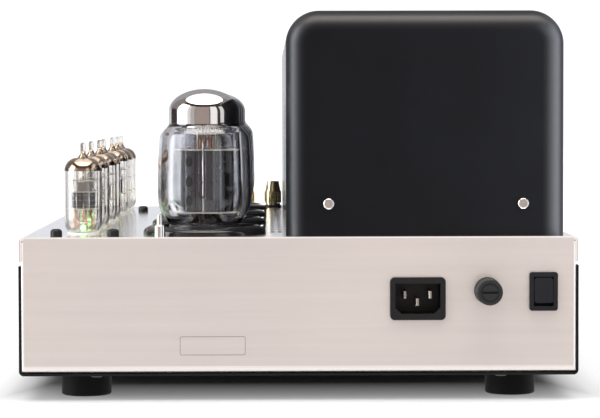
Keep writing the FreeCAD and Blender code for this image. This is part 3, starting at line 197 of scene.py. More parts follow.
# Stainless sheet, in millimetres. A painted highlight, a bright line in the colour, shows where it folds:
# at the plate's edge, and at the sides and the foot of the end panels
edge_fold = 0.9
side_fold = 1.4
side_fold_inset = 1.25
low_fold = 4.2
low_fold_share = 0.6
fold_blur = 0.2
painted_fold_highlight = (1.0, 0.97, 0.95)
# Painted shade for faces turned aside
painted_side_shade = (0.33, 0.32, 0.315)
satin_dark = (0.70, 0.652, 0.636)
satin_light = (0.775, 0.716, 0.692)
plate_dark = (0.84, 0.85, 0.88)
plate_light = (0.90, 0.91, 0.935)
brush_stretch = (0.04, 1.0, 1.6)


def fold_highlight_mask(made, upright):
    """How strong the painted fold highlight is at a place, from 0 on the flat sheet to 1."""
    aside, _, height = place_parts(made)
    blur = fold_blur * MM
    edge_start = (plate_z - edge_fold) * MM
    side_end = (half_width - side_fold_inset) * MM
    side_start = side_end - side_fold * MM
    low_end = (panel_z + low_fold) * MM
    at_edge = spread(made, height, 0.0, 1.0, edge_start, edge_start + blur)
    past_start = spread(made, aside, 0.0, 1.0, side_start - blur, side_start)
    before_end = spread(made, aside, 1.0, 0.0, side_end, side_end + blur)
    at_side = maths(made, "MULTIPLY", maths(made, "MULTIPLY", past_start, before_end), upright)
    at_low = spread(made, height, low_fold_share, 0.0, low_end - blur, low_end)
    return maths(made, "MAXIMUM", at_edge, maths(made, "MAXIMUM", at_side, at_low))


def stainless():
    """Bright sheet: smooth on the level plate, brushed and warmer on the upright panels, with a painted
    highlight along its folds and painted shade on its side faces.
    """
    made = new_material("stainless_polished", (0.70, 0.68, 0.67), 1.0, 0.12)
    facing_aside, _, facing_up = normal_parts(made)
    upright = spread(made, facing_up, 1.0, 0.0, 0.3, 0.9)
    cloud = noise(made, 7.0)
    lines = noise(made, 160.0, stretch=brush_stretch)
    brushed = maths(made, "MULTIPLY_ADD", lines, 0.5, maths(made, "MULTIPLY", cloud, 0.5))
    satin = ramp(made, brushed, [(0.35, satin_dark), (0.65, satin_light)])
    smooth = ramp(made, cloud, [(0.3, plate_dark), (0.7, plate_light)])
    colour = mix(made, upright, smooth, satin)
    # Painted highlight: a near-white line painted into the colour along the folds
    colour = mix(made, fold_highlight_mask(made, upright), colour, painted_fold_highlight)
    # Painted shade: faces turned aside, such as the lips' sides, get a darker grey in their colour
    side_shade_mask = spread(made, facing_aside, 0.0, 1.0, 0.85, 0.98)
    colour = mix(made, side_shade_mask, colour, painted_side_shade)
    shader = shader_of(made)
    join(made, colour, shader.inputs["Base Color"])
    join(made, spread(made, upright, 1.0, 0.62, 0.0, 1.0), shader.inputs["Metallic"])
    join(made, spread(made, upright, 0.19, 0.265, 0.0, 1.0), shader.inputs["Roughness"])
    bump_from(made, noise(made, 14.0, 2.0), 0.015, 2.0)
    return made


def satin_paint(name, base):
    """Satin black paint that catches the light on its bends and along its sides."""
    made = new_material(name, base, 0.0, 0.34)
    colour_from(made, noise(made, 25.0, 4.0), shades(base, 0.85, 1.15))
    along_x, along_y, along_z = normal_parts(made)
    flatness = maths(made, "MAXIMUM", maths(made, "MAXIMUM", along_x, along_y), along_z)
    shine = spread(made, flatness, 0.66, 0.085, 0.72, 0.998)
    join(made, shine, shader_of(made).inputs["Specular IOR Level"])
    edge = add_node(made, "ShaderNodeLayerWeight", Blend=0.25)
    gloss = spread(made, edge.outputs["Facing"], 0.44, 0.1, 0.6, 0.97)
    speckle = spread(made, noise(made, 400.0, 2.0), -0.02, 0.02)
    join(made, maths(made, "ADD", gloss, speckle), shader_of(made).inputs["Roughness"])
    bump_from(made, noise(made, 700.0, 2.0), 0.04)
    return made


def black_powder(name, base, low, high, shine):
    """Black paint with a fine orange peel."""
    made = new_material(name, base, 0.0, (low + high) / 2.0, Specular_IOR_Level=shine)
    cloud = noise(made, 30.0, 4.0)
    colour_from(made, cloud, shades(base, 0.82, 1.2))
    roughness_from(made, cloud, low, high)
    bump_from(made, noise(made, 900.0, 2.0), 0.12)
    return made


def plain_metal(name, colour, roughness, scale=60.0, spread_by=0.06, grain=0.02):
    """Plain or plated metal with a faint cloud in its colour and its shine."""
    made = new_material(name, colour, 1.0, roughness)
    colour_from(made, noise(made, scale, 4.0), shades(colour, 1.0 - spread_by, 1.0 + spread_by))
    roughness_from(made, noise(made, scale * 3.0), roughness * 0.8, roughness * 1.25)
    bump_from(made, noise(made, scale * 8.0, 2.0), grain)
    return made


def moulded(name, colour, roughness, scale=200.0, strength=0.06, **sockets):
    """Moulded plastic, ceramic or rubber with a faint texture."""
    made = new_material(name, colour, 0.0, roughness, **sockets)
    cloud = noise(made, scale / 6.0, 4.0)
    colour_from(made, cloud, shades(colour, 0.9, 1.1))
    roughness_from(made, cloud, roughness * 0.88, roughness * 1.12)
    bump_from(made, noise(made, scale * 4.0, 2.0), strength)
    return made


def clear_glass(name, tint):
    """Glass with a faint grey haze, thicker in some places."""
    made = new_material(name, tint, roughness=0.0, Transmission_Weight=1.0, IOR=1.47)
    colour_from(made, noise(made, 30.0, 2.0), shades(tint, 0.97, 1.03, (0.35, 0.65)))
    bump_from(made, noise(made, 40.0, 1.0), 0.008, 2.0)
    return made


def glow(name, colour, strength):
    """A small lamp's coloured cap, lit from inside."""
    made = new_material(name, colour, roughness=0.3)
    shader = shader_of(made)
    shader.inputs["Emission Color"].default_value = (*colour, 1.0)
    shader.inputs["Emission Strength"].default_value = strength
    colour_from(made, noise(made, 400.0, 2.0), shades(colour, 0.8, 1.0))
    return made


# Materials of the case
steel = stainless()
pan_black = black_powder("pan_black", (0.006, 0.006, 0.0065), 0.4, 0.5, 0.2)
cover_black = satin_paint("cover_black", (0.0052, 0.0056, 0.0072))
rubber = moulded("foot_rubber", (0.0045, 0.0042, 0.0042), 0.6, Specular_IOR_Level=0.12)
dark_zinc = plain_metal("dark_zinc", (0.10, 0.10, 0.10), 0.4)
chrome = plain_metal("screw_chrome", (0.72, 0.70, 0.68), 0.14, 90.0)
line_black = moulded("printed_line", (0.03, 0.028, 0.028), 0.5)

# Materials below the plate and inside the covers
screw_steel = plain_metal("screw_steel", (0.5, 0.49, 0.47), 0.28)
core_steel = plain_metal("core_laminations", (0.18, 0.18, 0.19), 0.45)
winding_tape = moulded("winding_tape", (0.42, 0.25, 0.08), 0.5)
board_green = moulded("board_green", (0.02, 0.12, 0.05), 0.4)
can_black = moulded("can_black", (0.02, 0.02, 0.025), 0.35)

# Materials of the fittings
ceramic = moulded("socket_ceramic", (0.78, 0.78, 0.75), 0.35)
ring_black = moulded("ring_black", (0.009, 0.009, 0.010), 0.14, 60.0, 0.02)
plastic_black = moulded("plastic_black", (0.007, 0.007, 0.0075), 0.4, Specular_IOR_Level=0.3)
gloss_black = moulded("gloss_black", (0.008, 0.009, 0.013), 0.22, Specular_IOR_Level=0.35)
cap_grey = moulded("cap_grey", (0.017, 0.018, 0.0185), 0.5, Specular_IOR_Level=0.25)
brass = plain_metal("blade_plated", (0.46, 0.43, 0.39), 0.3, 120.0)
gold = plain_metal("gold_plated", (1.0, 0.83, 0.52), 0.14, 120.0)
fuse_glass = clear_glass("fuse_glass", (0.95, 0.97, 0.96))
lamp_green = glow("lamp_green", (0.08, 1.0, 0.08), 1.3)

# Materials of the tubes
glass = clear_glass("tube_glass", (0.72, 0.72, 0.745))
small_glass = clear_glass("small_tube_glass", (0.90, 0.885, 0.865))
base_black = moulded("base_black", (0.012, 0.011, 0.011), 0.25)
anode_grey = plain_metal("anode_grey", (0.10, 0.105, 0.12), 0.3, 90.0, 0.05, 0.03)
shield_grey = plain_metal("shield_grey", (0.34, 0.34, 0.34), 0.35, 90.0)
nickel = plain_metal("nickel_wire", (0.90, 0.87, 0.83), 0.3, 120.0)
copper = plain_metal("copper_wire", (0.72, 0.30, 0.16), 0.3, 120.0)
mirror = plain_metal("getter_mirror", (0.78, 0.74, 0.70), 0.03, 60.0, 0.05, 0.0)
bronze = plain_metal("getter_bronze", (0.40, 0.31, 0.225), 0.06, 60.0, 0.12, 0.0)
mica = moulded("mica_sheet", (0.82, 0.78, 0.70), 0.3, 120.0, 0.1, Transmission_Weight=0.35)
# Painted shade: a black with no shine that stands for the shade inside hollows, such as the anode's
# windows and ends
painted_hollow_shade = moulded("painted_hollow_shade", (0.004, 0.004, 0.004), 0.8, Specular_IOR_Level=0.0)

worn = {
    "chassis_shell": steel,
    "bottom_cover": pan_black,
    "rubber_feet": rubber,
    "case_screws": dark_zinc,
    "transformer_cover_near": cover_black,
    "transformer_cover_middle": cover_black,
    "transformer_cover_far": cover_black,
    "chrome_screws": chrome,
    "transformer_cores": core_steel,
    "transformer_windings": winding_tape,
    "transformer_fixings": screw_steel,
    "power_tube_sockets": ceramic,
    "power_tube_rings": ring_black,
    "signal_tube_sockets": ceramic,
    "socket_lamps": lamp_green,
    "circuit_board": board_green,
    "filter_capacitors": can_black,
    "guard_plugs": plastic_black,
    "guard_posts": chrome,
    "power_inlet": plastic_black,
    "inlet_blades": brass,
    "fuse_holder": plastic_black,
    "switch_frames": gloss_black,
    "input_jacks": gold,
    "terminal_studs": gold,
    "terminal_insulators": plastic_black,
    "fuse_cap": cap_grey,
    "fuse_cartridge": fuse_glass,
    "auto_off_rocker": gloss_black,
    "power_rocker": gloss_black,
}
for index in range(1, power_tube_count + 1):
    worn[f"power_tube_{index}_glass"] = glass
    worn[f"power_tube_{index}_electrodes"] = anode_grey
    worn[f"power_tube_{index}_base"] = base_black
    worn[f"terminal_cap_{index}"] = gold
for index in range(1, signal_tube_count + 1):
    worn[f"signal_tube_{index}_glass"] = small_glass
    worn[f"signal_tube_{index}_electrodes"] = anode_grey

for node, material in worn.items():
    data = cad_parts[node].data
    data.materials.clear()
    data.materials.append(material)


# Mesh helpers, in millimetres
def ring_places(count, start=0.0):
    """Angles spread evenly round a circle."""
    return [math.tau * (i + start) / count for i in range(count)]


class Shape:
    """A mesh being built in millimetres, with one or more materials."""

    def __init__(self):
        self.bm = bmesh.new()
        self.materials = []

    def slot(self, material):
        if material not in self.materials:
            self.materials.append(material)
        return self.materials.index(material)

    def faces(self, points, faces, material, smooth=True):
        index = self.slot(material)
        made = [self.bm.verts.new(Vector(p) * MM) for p in points]
        for face in faces:
            new = self.bm.faces.new([made[i] for i in face])
            new.material_index = index
            new.smooth = smooth

    def band(self, low, high, material, smooth=True):
        """A strip of faces between two closed rows of as many points."""
        count = len(low)
        sides = [(i, (i + 1) % count, (i + 1) % count + count, i + count) for i in range(count)]
        self.faces(low + high, sides, material, smooth)

    def box(self, x0, x1, y0, y1, z0, z1, material):
        points = [(x, y, z) for z in (z0, z1) for y in (y0, y1) for x in (x0, x1)]
        faces = [(0, 2, 3, 1), (4, 5, 7, 6), (0, 1, 5, 4), (2, 6, 7, 3), (0, 4, 6, 2), (1, 3, 7, 5)]
        self.faces(points, faces, material, False)

    def turned(self, outline, material, x=0.0, y=0.0, sides=64):
        """Turns an outline of (radius, height) round a vertical line."""
        points, faces, rings = [], [], []
        for radius, height in outline:
            if radius == 0.0:
                rings.append([len(points)])
                points.append((x, y, height))
                continue
            rings.append(list(range(len(points), len(points) + sides)))
            for angle in ring_places(sides):
                points.append((x + radius * math.cos(angle), y + radius * math.sin(angle), height))
        for low, high in zip(rings, rings[1:]):
            for side in range(sides):
                after = (side + 1) % sides
                corners = [low[side % len(low)], low[after % len(low)]]
                corners += [high[after % len(high)], high[side % len(high)]]
                corners = [c for i, c in enumerate(corners) if c not in corners[:i]]
                faces.append(corners)
        self.faces(points, faces, material)

    def wire(self, path, radius, material, sides=8):
        """A round wire along a path of points."""
        path = [Vector(p) for p in path]
        points, faces = [], []
        side_way = None
        for i, here in enumerate(path):
            before, after = path[max(i - 1, 0)], path[min(i + 1, len(path) - 1)]
            along = (after - before).normalized()
            if side_way is None:
                side_way = along.orthogonal().normalized()
            side_way = (side_way - along * side_way.dot(along)).normalized()
            other = along.cross(side_way)
            for angle in ring_places(sides):
                points.append(here + (side_way * math.cos(angle) + other * math.sin(angle)) * radius)
        for i in range(len(path) - 1):
            for side in range(sides):
                a, b = i * sides + side, i * sides + (side + 1) % sides
                faces.append((a, b, b + sides, a + sides))
        last = (len(path) - 1) * sides
        faces.append(tuple(reversed(range(sides))))
        faces.append(tuple(range(last, last + sides)))
        self.faces(points, faces, material)

    def hoop(self, z, radius, thickness, material, tilt):
        """A closed ring of wire round the axis, tilted about X by degrees."""
        steps, sides = 40, 8
        points, faces = [], []
        turn = Matrix.Rotation(math.radians(tilt), 3, "X")
        for a in ring_places(steps):
            for b in ring_places(sides):
                r = radius + thickness * math.cos(b)
                p = Vector((r * math.cos(a), r * math.sin(a), thickness * math.sin(b)))
                points.append(turn @ p + Vector((0.0, 0.0, z)))
        for i in range(steps):
            for side in range(sides):
                a, b = i * sides + side, i * sides + (side + 1) % sides
                c, d = (a + sides) % len(points), (b + sides) % len(points)
                faces.append((a, c, d, b))
        self.faces(points, faces, material)

    def plate(self, outline, z0, z1, material):
        """A level sheet with a free outline of (x, y)."""
        count = len(outline)
        points = [(x, y, z0) for x, y in outline] + [(x, y, z1) for x, y in outline]
        faces = [tuple(reversed(range(count))), tuple(range(count, 2 * count))]
        faces += [(i, (i + 1) % count, (i + 1) % count + count, i + count) for i in range(count)]
        self.faces(points, faces, material, False)

    def mesh(self, name, keep_facing=False):
        """The finished mesh; a hollow glass keeps the facing of its two walls."""
        if not keep_facing:
            bmesh.ops.recalc_face_normals(self.bm, faces=self.bm.faces)
        data = bpy.data.meshes.new(name)
        self.bm.to_mesh(data)
        self.bm.free()
        for material in self.materials:
            data.materials.append(material)
        return data


def place(name, data, body, slot, at=(0.0, 0.0, 0.0), stands_for=None):
    """Puts a mesh at a place in millimetres on a body, instead of a node where one is named."""
    made = bpy.data.objects.new(name, data)
    bpy.context.scene.collection.objects.link(made)
    made.location = Vector(at) * MM
    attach(made, body)
    if stands_for:
        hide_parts(stands_for)
    return made


def curve_through(points, start, end):
    """Points of a smooth curve through (radius, height) places, with a slope at each end."""
    steps = 10
    points = [Vector(p) for p in points]
    slopes = [Vector(start).normalized() * (points[1] - points[0]).length]
    slopes += [(after - before) / 2.0 for before, after in zip(points, points[2:])]
    slopes.append(Vector(end).normalized() * (points[-1] - points[-2]).length)
    out = []
    for p0, p1, slope0, slope1 in zip(points, points[1:], slopes, slopes[1:]):
        for step in range(steps):
            t = step / steps
            a = 2 * t**3 - 3 * t**2 + 1
            b = t**3 - 2 * t**2 + t
            c = -2 * t**3 + 3 * t**2
            d = t**3 - t**2
            out.append(tuple(p0 * a + slope0 * b + p1 * c + slope1 * d))
    return out + [tuple(points[-1])]


def quarter(radius, height, z):
    """An elliptical dome's outline, from its rim up to the axis."""
    steps = 14
    angles = [math.pi / 2.0 * step / steps for step in range(steps)]
    return [(radius * math.cos(a), z + height * math.sin(a)) for a in angles] + [(0.0, z + height)]


def fold_outline(points, corner, steps=5):
    """Rounds the corners of a plan outline."""
    out = []
    count = len(points)
    for i in range(count):
        before, here, after = (Vector(points[j % count]) for j in (i - 1, i, i + 1))
        reach = min(corner, (before - here).length / 2.0, (after - here).length / 2.0)
        a = here + (before - here).normalized() * reach
        b = here + (after - here).normalized() * reach
        for step in range(steps + 1):
            t = step / steps
            out.append(tuple(a * (1 - t) ** 2 + here * 2 * t * (1 - t) + b * t**2))
    return out


def rectangle(half_x, half_y):
    return [(-half_x, -half_y), (half_x, -half_y), (half_x, half_y), (-half_x, half_y)]


def mica_outline(radius, flat, teeth):
    """A round sheet cut off at two sides, with small teeth at its edge."""
    tooth_tip, tooth_root = 0.55, -0.35
    out = []
    for step, a in enumerate(ring_places(teeth * 4)):
        r = radius + (tooth_tip if step % 4 in (0, 1) else tooth_root)
        out.append((r * math.cos(a), max(-flat, min(flat, r * math.sin(a)))))
    return out


# Power tubes, in millimetres about each tube's axis and over the plate. Places are (radius, height)
bulb_wall = 1.2
bulb_foot_radius = 16.0
bulb_foot = 3.0
bulb_round = (22.2, 8.8)
bulb_turn = (25.1, 14.0)
bulb_widest = (26.1, 30.0)
bulb_waist = (25.6, 46.0)
shoulder_top = (24.9, 54.0)
shoulder_bend = (22.6, 57.8)
neck_bottom = 61.4
neck_heights = (62.2, 65.0, 67.6)
dome_radius = 19.9
dome_bottom = 68.3
dome_height = 12.6
foot_slope = (1.0, 0.25)
turn_slope = (0.35, 1.0)
waist_slope = (-0.05, 1.0)
neck_slope = (-0.12, 1.0)
film_depth = 1.05
stem_outline = [(10.6, 4.2), (10.4, 5.4), (8.6, 6.6), (7.4, 9.4), (0.0, 9.8)]


def power_outline(shrink):
    """The bulb from its foot's middle up to its dome's top, moved in by shrink."""
    def inward(*places):
        return [(radius - shrink, height) for radius, height in places]

    foot = [(bulb_foot_radius - shrink, bulb_foot + shrink)] + inward(bulb_round, bulb_turn)
    body = inward(bulb_turn, bulb_widest, bulb_waist)
    shoulder = inward(bulb_waist, shoulder_top, shoulder_bend, (dome_radius, neck_bottom))
    line = [(0.0, bulb_foot + shrink)]
    line += curve_through(foot, foot_slope, turn_slope)
    line += curve_through(body, turn_slope, waist_slope)[1:]
    line += curve_through(shoulder, waist_slope, neck_slope)[1:]
    line += [(dome_radius - shrink, height) for height in neck_heights]
    return line + quarter(dome_radius - shrink, dome_height - shrink, dome_bottom)


def power_glass_mesh():
    shape = Shape()
    shape.turned(power_outline(0.0), glass, sides=128)
    shape.turned(list(reversed(power_outline(bulb_wall))), glass, sides=128)
    return shape.mesh("power_glass", keep_facing=True)


def power_film_mesh():
    """The mirror inside the neck and the dome, sunk in the glass."""
    shape = Shape()
    shape.turned([p for p in power_outline(film_depth) if p[1] >= neck_bottom], mirror, sides=96)
    return shape.mesh("getter_film")


# The anode: a folded sheet with three windows in each of its two broad faces; the windows and the ends are
# closed with black sheets of painted shade
anode_bottom = 12.8
anode_top = 46.4
anode_corner = 0.9
anode_end_sunk = 0.2
window_heights = (18.5, 29.2, 40.3)
window_x = 9.6
window_y = 8.95
window_half_width = 1.85
window_half_height = 3.0
window_rim = 0.3
window_rim_y = 8.8


def anode_plan():
    """Half of an anode's wall seen from above; the other half is the same turned round."""
    left_end = [(-15.0, 3.2), (-14.6, -1.5), (-13.4, -5.4), (-11.6, -8.0), (-10.4, -8.6)]
    holed_face = [(-6.6, -8.8), (-5.9, -7.4), (-4.9, -7.3), (-4.4, -8.3), (-3.0, -8.4)]
    middle_face = [(-2.4, -7.2), (-1.2, -7.2), (-0.6, -8.9), (4.9, -9.1)]
    rib = [(5.4, -7.2), (6.4, -7.2), (6.9, -9.0), (8.0, -10.0), (9.6, -10.1), (10.8, -9.2)]
    right_end = [(11.3, -7.2), (12.6, -6.4), (14.2, -5.6)]
    return left_end + holed_face + middle_face + rib + right_end


def oval(x, y, z, half_wide, half_high):
    """Points of an upright oval."""
    return [(x + half_wide * math.cos(a), y, z + half_high * math.sin(a)) for a in ring_places(28)]


def anode_mesh():
    front = anode_plan()
    plan = fold_outline(front + [(-x, -y) for x, y in front], anode_corner)
    shape = Shape()
    low, high = ([(x, y, z) for x, y in plan] for z in (anode_bottom, anode_top))
    shape.band(low, high, anode_grey)
    for side in (-1.0, 1.0):
        for z in window_heights:
            window = oval(side * window_x, side * window_y, z, window_half_width, window_half_height)
            rim = oval(side * window_x, side * window_rim_y, z, window_half_width + window_rim,
                       window_half_height + window_rim)
            # Painted shade: each window is closed by a black sheet for the shade inside the anode
            shape.faces(window, [tuple(range(len(window)))], painted_hollow_shade, False)
            shape.band(window, rim, anode_grey)
    # Painted shade: black sheets, a little sunk, close the anode's open ends
    for z in (anode_bottom + anode_end_sunk, anode_top - anode_end_sunk):
        shape.faces([(x, y, z) for x, y in plan], [tuple(range(len(plan)))], painted_hollow_shade, False)
    return shape.mesh("anode")


# What holds the anode, and what shows above and below it. A spacer's edge is (radius, half depth, teeth),
# a spring is (reach, inner height, outer height) and a getter ring is (height, half thickness)
spacer_edge = (17.4, 15.0, 22)
spacer_heights = (12.0, 46.6)
spacer_sheet = 0.6
spring_inner = 14.0
spring_wire = 0.35
springs = ((24.0, 46.9, 46.9), (23.0, 12.3, 12.6))
front_rod = (1.8, 10.4)
front_rod_span = (5.0, 62.5)
grid_rod_x = 6.6
grid_rod_span = (7.0, 52.0)
heater_xs = (-3.6, -1.6, 1.6, 3.6)
heater_y = -1.5
bridge_heights = (54.1, 52.9, 52.9, 54.1)
lead_wire = 0.42
lead_reach = (7.6, 5.0)
getter_post = (5.0, 7.0)
getter_radius = 6.0
getter_tilt = 8.0
getter_rings = ((61.5, 0.55), (59.8, 0.35))


def add_supports(shape):
    """The mica sheets with their springs against the glass, and the rods that hold the anode."""
    for z in spacer_heights:
        shape.plate(mica_outline(*spacer_edge), z, z + spacer_sheet, mica)
    for angle in ring_places(4, 0.5):
        c, s = math.cos(angle), math.sin(angle)
        for reach, low, high in springs:
            spring = [(spring_inner * c, spring_inner * s, low), (reach * c, reach * s, high)]
            shape.wire(spring, spring_wire, mica, 6)
    for side in (-1.0, 1.0):
        x, y = side * front_rod[0], side * front_rod[1]
        shape.wire([(x, y, z) for z in front_rod_span], 0.6, nickel, 10)
    for side in (-1.0, 1.0):
        shape.wire([(side * grid_rod_x, 0.0, z) for z in grid_rod_span], 0.8, nickel, 10)


def add_heater(shape):
    """Four heater wires over the anode and the bridge that joins them."""
    for x in heater_xs:
        shape.wire([(x, heater_y, 47.0), (x, heater_y, 52.0 + 0.6 * abs(x))], lead_wire, copper)
    shape.wire([(x, heater_y, z) for x, z in zip(heater_xs, bridge_heights)], 0.3, copper)


def add_getter(shape):
    """Two tilted rings under the dome, on two bent posts."""
    for side in (-1.0, 1.0):
        x, y = side * getter_post[0], side * getter_post[1]
        shape.wire([(x, y, 46.8), (x, y, 58.0), (x * 0.6, y * 0.7, 61.0)], 0.4, nickel)
    for z, thickness in getter_rings:
        shape.hoop(z, getter_radius, thickness, nickel, getter_tilt)


def add_stem(shape):
    """The glass stem and the leads that come up out of it."""
    for a in ring_places(8, 0.5):
        x, y = lead_reach[0] * math.cos(a), lead_reach[1] * math.sin(a)
        shape.wire([(x * 1.05, y * 1.1, 4.2), (x, y, 7.5), (x * 0.8, y * 0.8, 12.2)], lead_wire, copper)
    shape.turned(stem_outline, glass, sides=48)


def power_inside_mesh():
    shape = Shape()
    add_supports(shape)
    add_heater(shape)
    add_getter(shape)
    add_stem(shape)
    return shape.mesh("power_inside")


# The base of a power tube, with its eight pins and its key
cup_outline = [(0.0, -12.0), (18.8, -12.0), (19.5, -11.7), (19.8, -11.0), (19.8, 4.9), (19.2, 5.5),
               (18.4, 5.5), (16.4, 3.4), (0.0, 2.8)]
pin_outline = [(0.0, -23.0), (0.9, -22.9), (1.18, -22.2), (1.18, -11.8), (0.0, -11.8)]
key_outline = [(0.0, -25.0), (3.5, -25.0), (3.9, -24.4), (3.9, -11.9), (0.0, -11.9)]
pin_circle = 8.7


def base_mesh():
    shape = Shape()
    shape.turned(cup_outline, base_black, sides=72)
    for a in ring_places(8, 0.5):
        shape.turned(pin_outline, nickel, pin_circle * math.sin(a), pin_circle * math.cos(a), sides=16)
    shape.turned(key_outline, base_black, sides=24)
    return shape.mesh("power_base")


def power_tubes():
    """Each tube's glass, mirror, anode, frame and base; the anode stands a little aside of the axis."""
    anode_offset = 1.3
    outside = power_glass_mesh()
    film = power_film_mesh()
    anode = anode_mesh()
    inside = power_inside_mesh()
    base = base_mesh()
    for index in range(1, power_tube_count + 1):
        body = f"power_tube_{index}"
        centre = middle(body + "_glass")
        at = (centre.x, centre.y, plate_z)
        inner_at = (centre.x + anode_offset, centre.y, plate_z)
        shown = place(body + "_envelope", outside, body, "tube_glass", at, body + "_glass")
        shown.visible_shadow = False
        place(body + "_getter_film", film, body, "electrode_metal", at)
        place(body + "_anode", anode, body, "electrode_metal", inner_at, body + "_electrodes")
        place(body + "_inner_frame", inside, body, "electrode_metal", inner_at)
        place(body + "_foot", base, body, "base_black", at, body + "_base")


# Signal tubes, in millimetres about each tube's axis and over the plate
vial_radius = 10.5
vial_wall = 0.8
vial_foot_radius = 7.5
vial_foot = 1.0
vial_shoulder = 36.0
vial_top = 42.6
tip_root_radius = 3.4
tip_radius = 1.45
vial_film_depth = 0.65
vial_film_bottom = 34.0


def signal_outline(shrink):
    """From the foot's middle up to the drawn tip; the inner wall ends under the tip."""
    r = vial_radius - shrink
    top = vial_top - shrink
    foot = [(vial_foot_radius - shrink, vial_foot + shrink), (r - 0.7, 3.6 + shrink), (r, 8.0 + shrink)]
    dome = [(r, vial_shoulder - shrink), (r - 1.7, top - 2.5), (r - 4.6, top - 0.45),
            (tip_root_radius - shrink, top)]
    out = [(0.0, vial_foot + shrink)]
    out += curve_through(foot, (1.0, 0.15), (0.0, 1.0))
    out += curve_through(dome, (0.0, 1.0), (-1.0, 0.12))
    if shrink > 0.0:
        return out + [(0.0, top + 0.3)]
    tip = [(tip_root_radius, vial_top), (2.1, 44.0), (tip_radius, 45.4)]
    nib = [(tip_radius, 49.6), (1.3, 50.3), (0.8, 50.9), (0.0, 51.1)]
    return out + curve_through(tip, (-1.0, 0.2), (-0.1, 1.0))[1:] + nib


def signal_glass_mesh():
    shape = Shape()
    shape.turned(signal_outline(0.0), small_glass, sides=72)
    shape.turned(list(reversed(signal_outline(vial_wall))), small_glass, sides=72)
    return shape.mesh("signal_glass", keep_facing=True)


def signal_film_mesh():
    """The bronze film under the dome, and the smoked end of the drawn tip."""
    shape = Shape()
    under_dome = [p for p in signal_outline(vial_film_depth) if p[1] >= vial_film_bottom and p[0] > 0.0]
    in_tip = [(2.5, 42.0), (1.55, 43.4), (1.1, 44.8), (0.95, 46.2), (0.0, 46.8)]
    shape.turned(under_dome, bronze, sides=72)
    shape.turned(in_tip, bronze, sides=24)
    return shape.mesh("signal_film")


# The two small anodes with their clamps, the shield over them and the nine pins
small_anode_x = 3.5
small_anode_half_width = 3.0
small_anode_flat = 1.2
small_anode_depths = (2.6, 3.3)
small_anode_span = (14.7, 23.1)
clamp_heights = (16.0, 18.9, 21.8)
clamp_half_width = 3.1
clamp_half_depth = 3.36
clamp_half_height = 0.16
small_spacer_edge = (8.6, 7.6, 14)
small_spacer_heights = (14.0, 23.4, 29.6)
small_spacer_sheet = 0.35
shield_span = (24.0, 28.9)
rod_xs = (-5.4, -1.4, 1.4, 5.4)
small_getter_z = 36.4
noval_places = 10
noval_circle = 5.95


def small_anode_plan(x):
    """A flat box with bevelled corners, seen from above."""
    wide, flat = small_anode_half_width, small_anode_flat
    shallow, deep = small_anode_depths
    front = [(x - wide, -shallow), (x - flat, -deep), (x + flat, -deep), (x + wide, -shallow)]
    return fold_outline(front + [(a, -b) for a, b in reversed(front)], 0.7)


def signal_inside_mesh():
    shape = Shape()
    for x in (-small_anode_x, small_anode_x):
        shape.plate(small_anode_plan(x), *small_anode_span, anode_grey)
        for z in clamp_heights:
            shape.box(x - clamp_half_width, x + clamp_half_width, -clamp_half_depth, clamp_half_depth,
                      z - clamp_half_height, z + clamp_half_height, shield_grey)
        shape.wire([(x, -3.6, 13.6), (x, -3.6, 24.2)], 0.28, nickel)
    for z in small_spacer_heights:
        shape.plate(mica_outline(*small_spacer_edge), z, z + small_spacer_sheet, mica)
    shape.plate(fold_outline(rectangle(3.95, 2.2), 1.2), *shield_span, shield_grey)
    shape.box(-4.3, 4.3, -0.5, 0.5, 25.6, 26.2, anode_grey)
    for x in rod_xs:
        shape.wire([(x, 0.0, 7.0), (x, 0.0, 30.8)], 0.3, nickel)
    shape.wire([(0.0, 1.0, 29.8), (0.0, 1.0, small_getter_z)], 0.3, nickel)
    shape.hoop(small_getter_z, 3.6, 0.45, nickel, 12.0)
    for a in ring_places(noval_places, 0.5)[:-1]:
        x, y = noval_circle * math.sin(a), noval_circle * math.cos(a)
        shape.wire([(x, y, -6.0), (x, y, 1.4)], 0.5, nickel, 10)
        shape.wire([(x, y, 1.9), (x, y, 5.0), (x * 0.85, y * 0.6, 14.1)], 0.25, copper, 6)
    return shape.mesh("signal_inside")


def signal_tubes():
    outside = signal_glass_mesh()
    film = signal_film_mesh()
    inside = signal_inside_mesh()
    for index in range(1, signal_tube_count + 1):
        body = f"signal_tube_{index}"
        centre = middle(body + "_glass")
        at = (centre.x, centre.y, plate_z)
        shown = place(body + "_envelope", outside, body, "tube_glass", at, body + "_glass")
        shown.visible_shadow = False
        place(body + "_getter_film", film, body, "electrode_metal", at)
        place(body + "_inner_frame", inside, body, "electrode_metal", at, body + "_electrodes")


# A thin rounded line printed on the near panel, in millimetres
label_x = -47.1
label_over_pan = 16.4
label_half_width = 17.85
label_half_height = 5.1
label_line = 0.22
label_corner = 1.2
label_inner_corner = 1.0
label_proud = 0.03


def plate_frame():
    outer = fold_outline(rectangle(label_half_width, label_half_height), label_corner, 6)
    inner = fold_outline(rectangle(label_half_width - label_line, label_half_height - label_line),
                         label_inner_corner, 6)
    outer, inner = ([(label_x + a, near_y - label_proud, pan_z + label_over_pan + b) for a, b in line]
                    for line in (outer, inner))
    shape = Shape()
    shape.band(outer, inner, line_black, False)
    return shape.mesh("plate_frame")


# Lights, in watts and metres; the socket lamps' lengths are in millimetres
lamp_power = 0.0007
lamp_colour = (0.1, 1.0, 0.12)
lamp_radius = 1.5
lamp_forward = 1.0
lamp_over_plate = 3.2


def add_light(name, kind, energy, colour=(1.0, 1.0, 1.0)):
    data = bpy.data.lights.new(name, kind)
    data.energy = energy
    data.color = colour
    made = bpy.data.objects.new(name, data)
    bpy.context.scene.collection.objects.link(made)
    return made


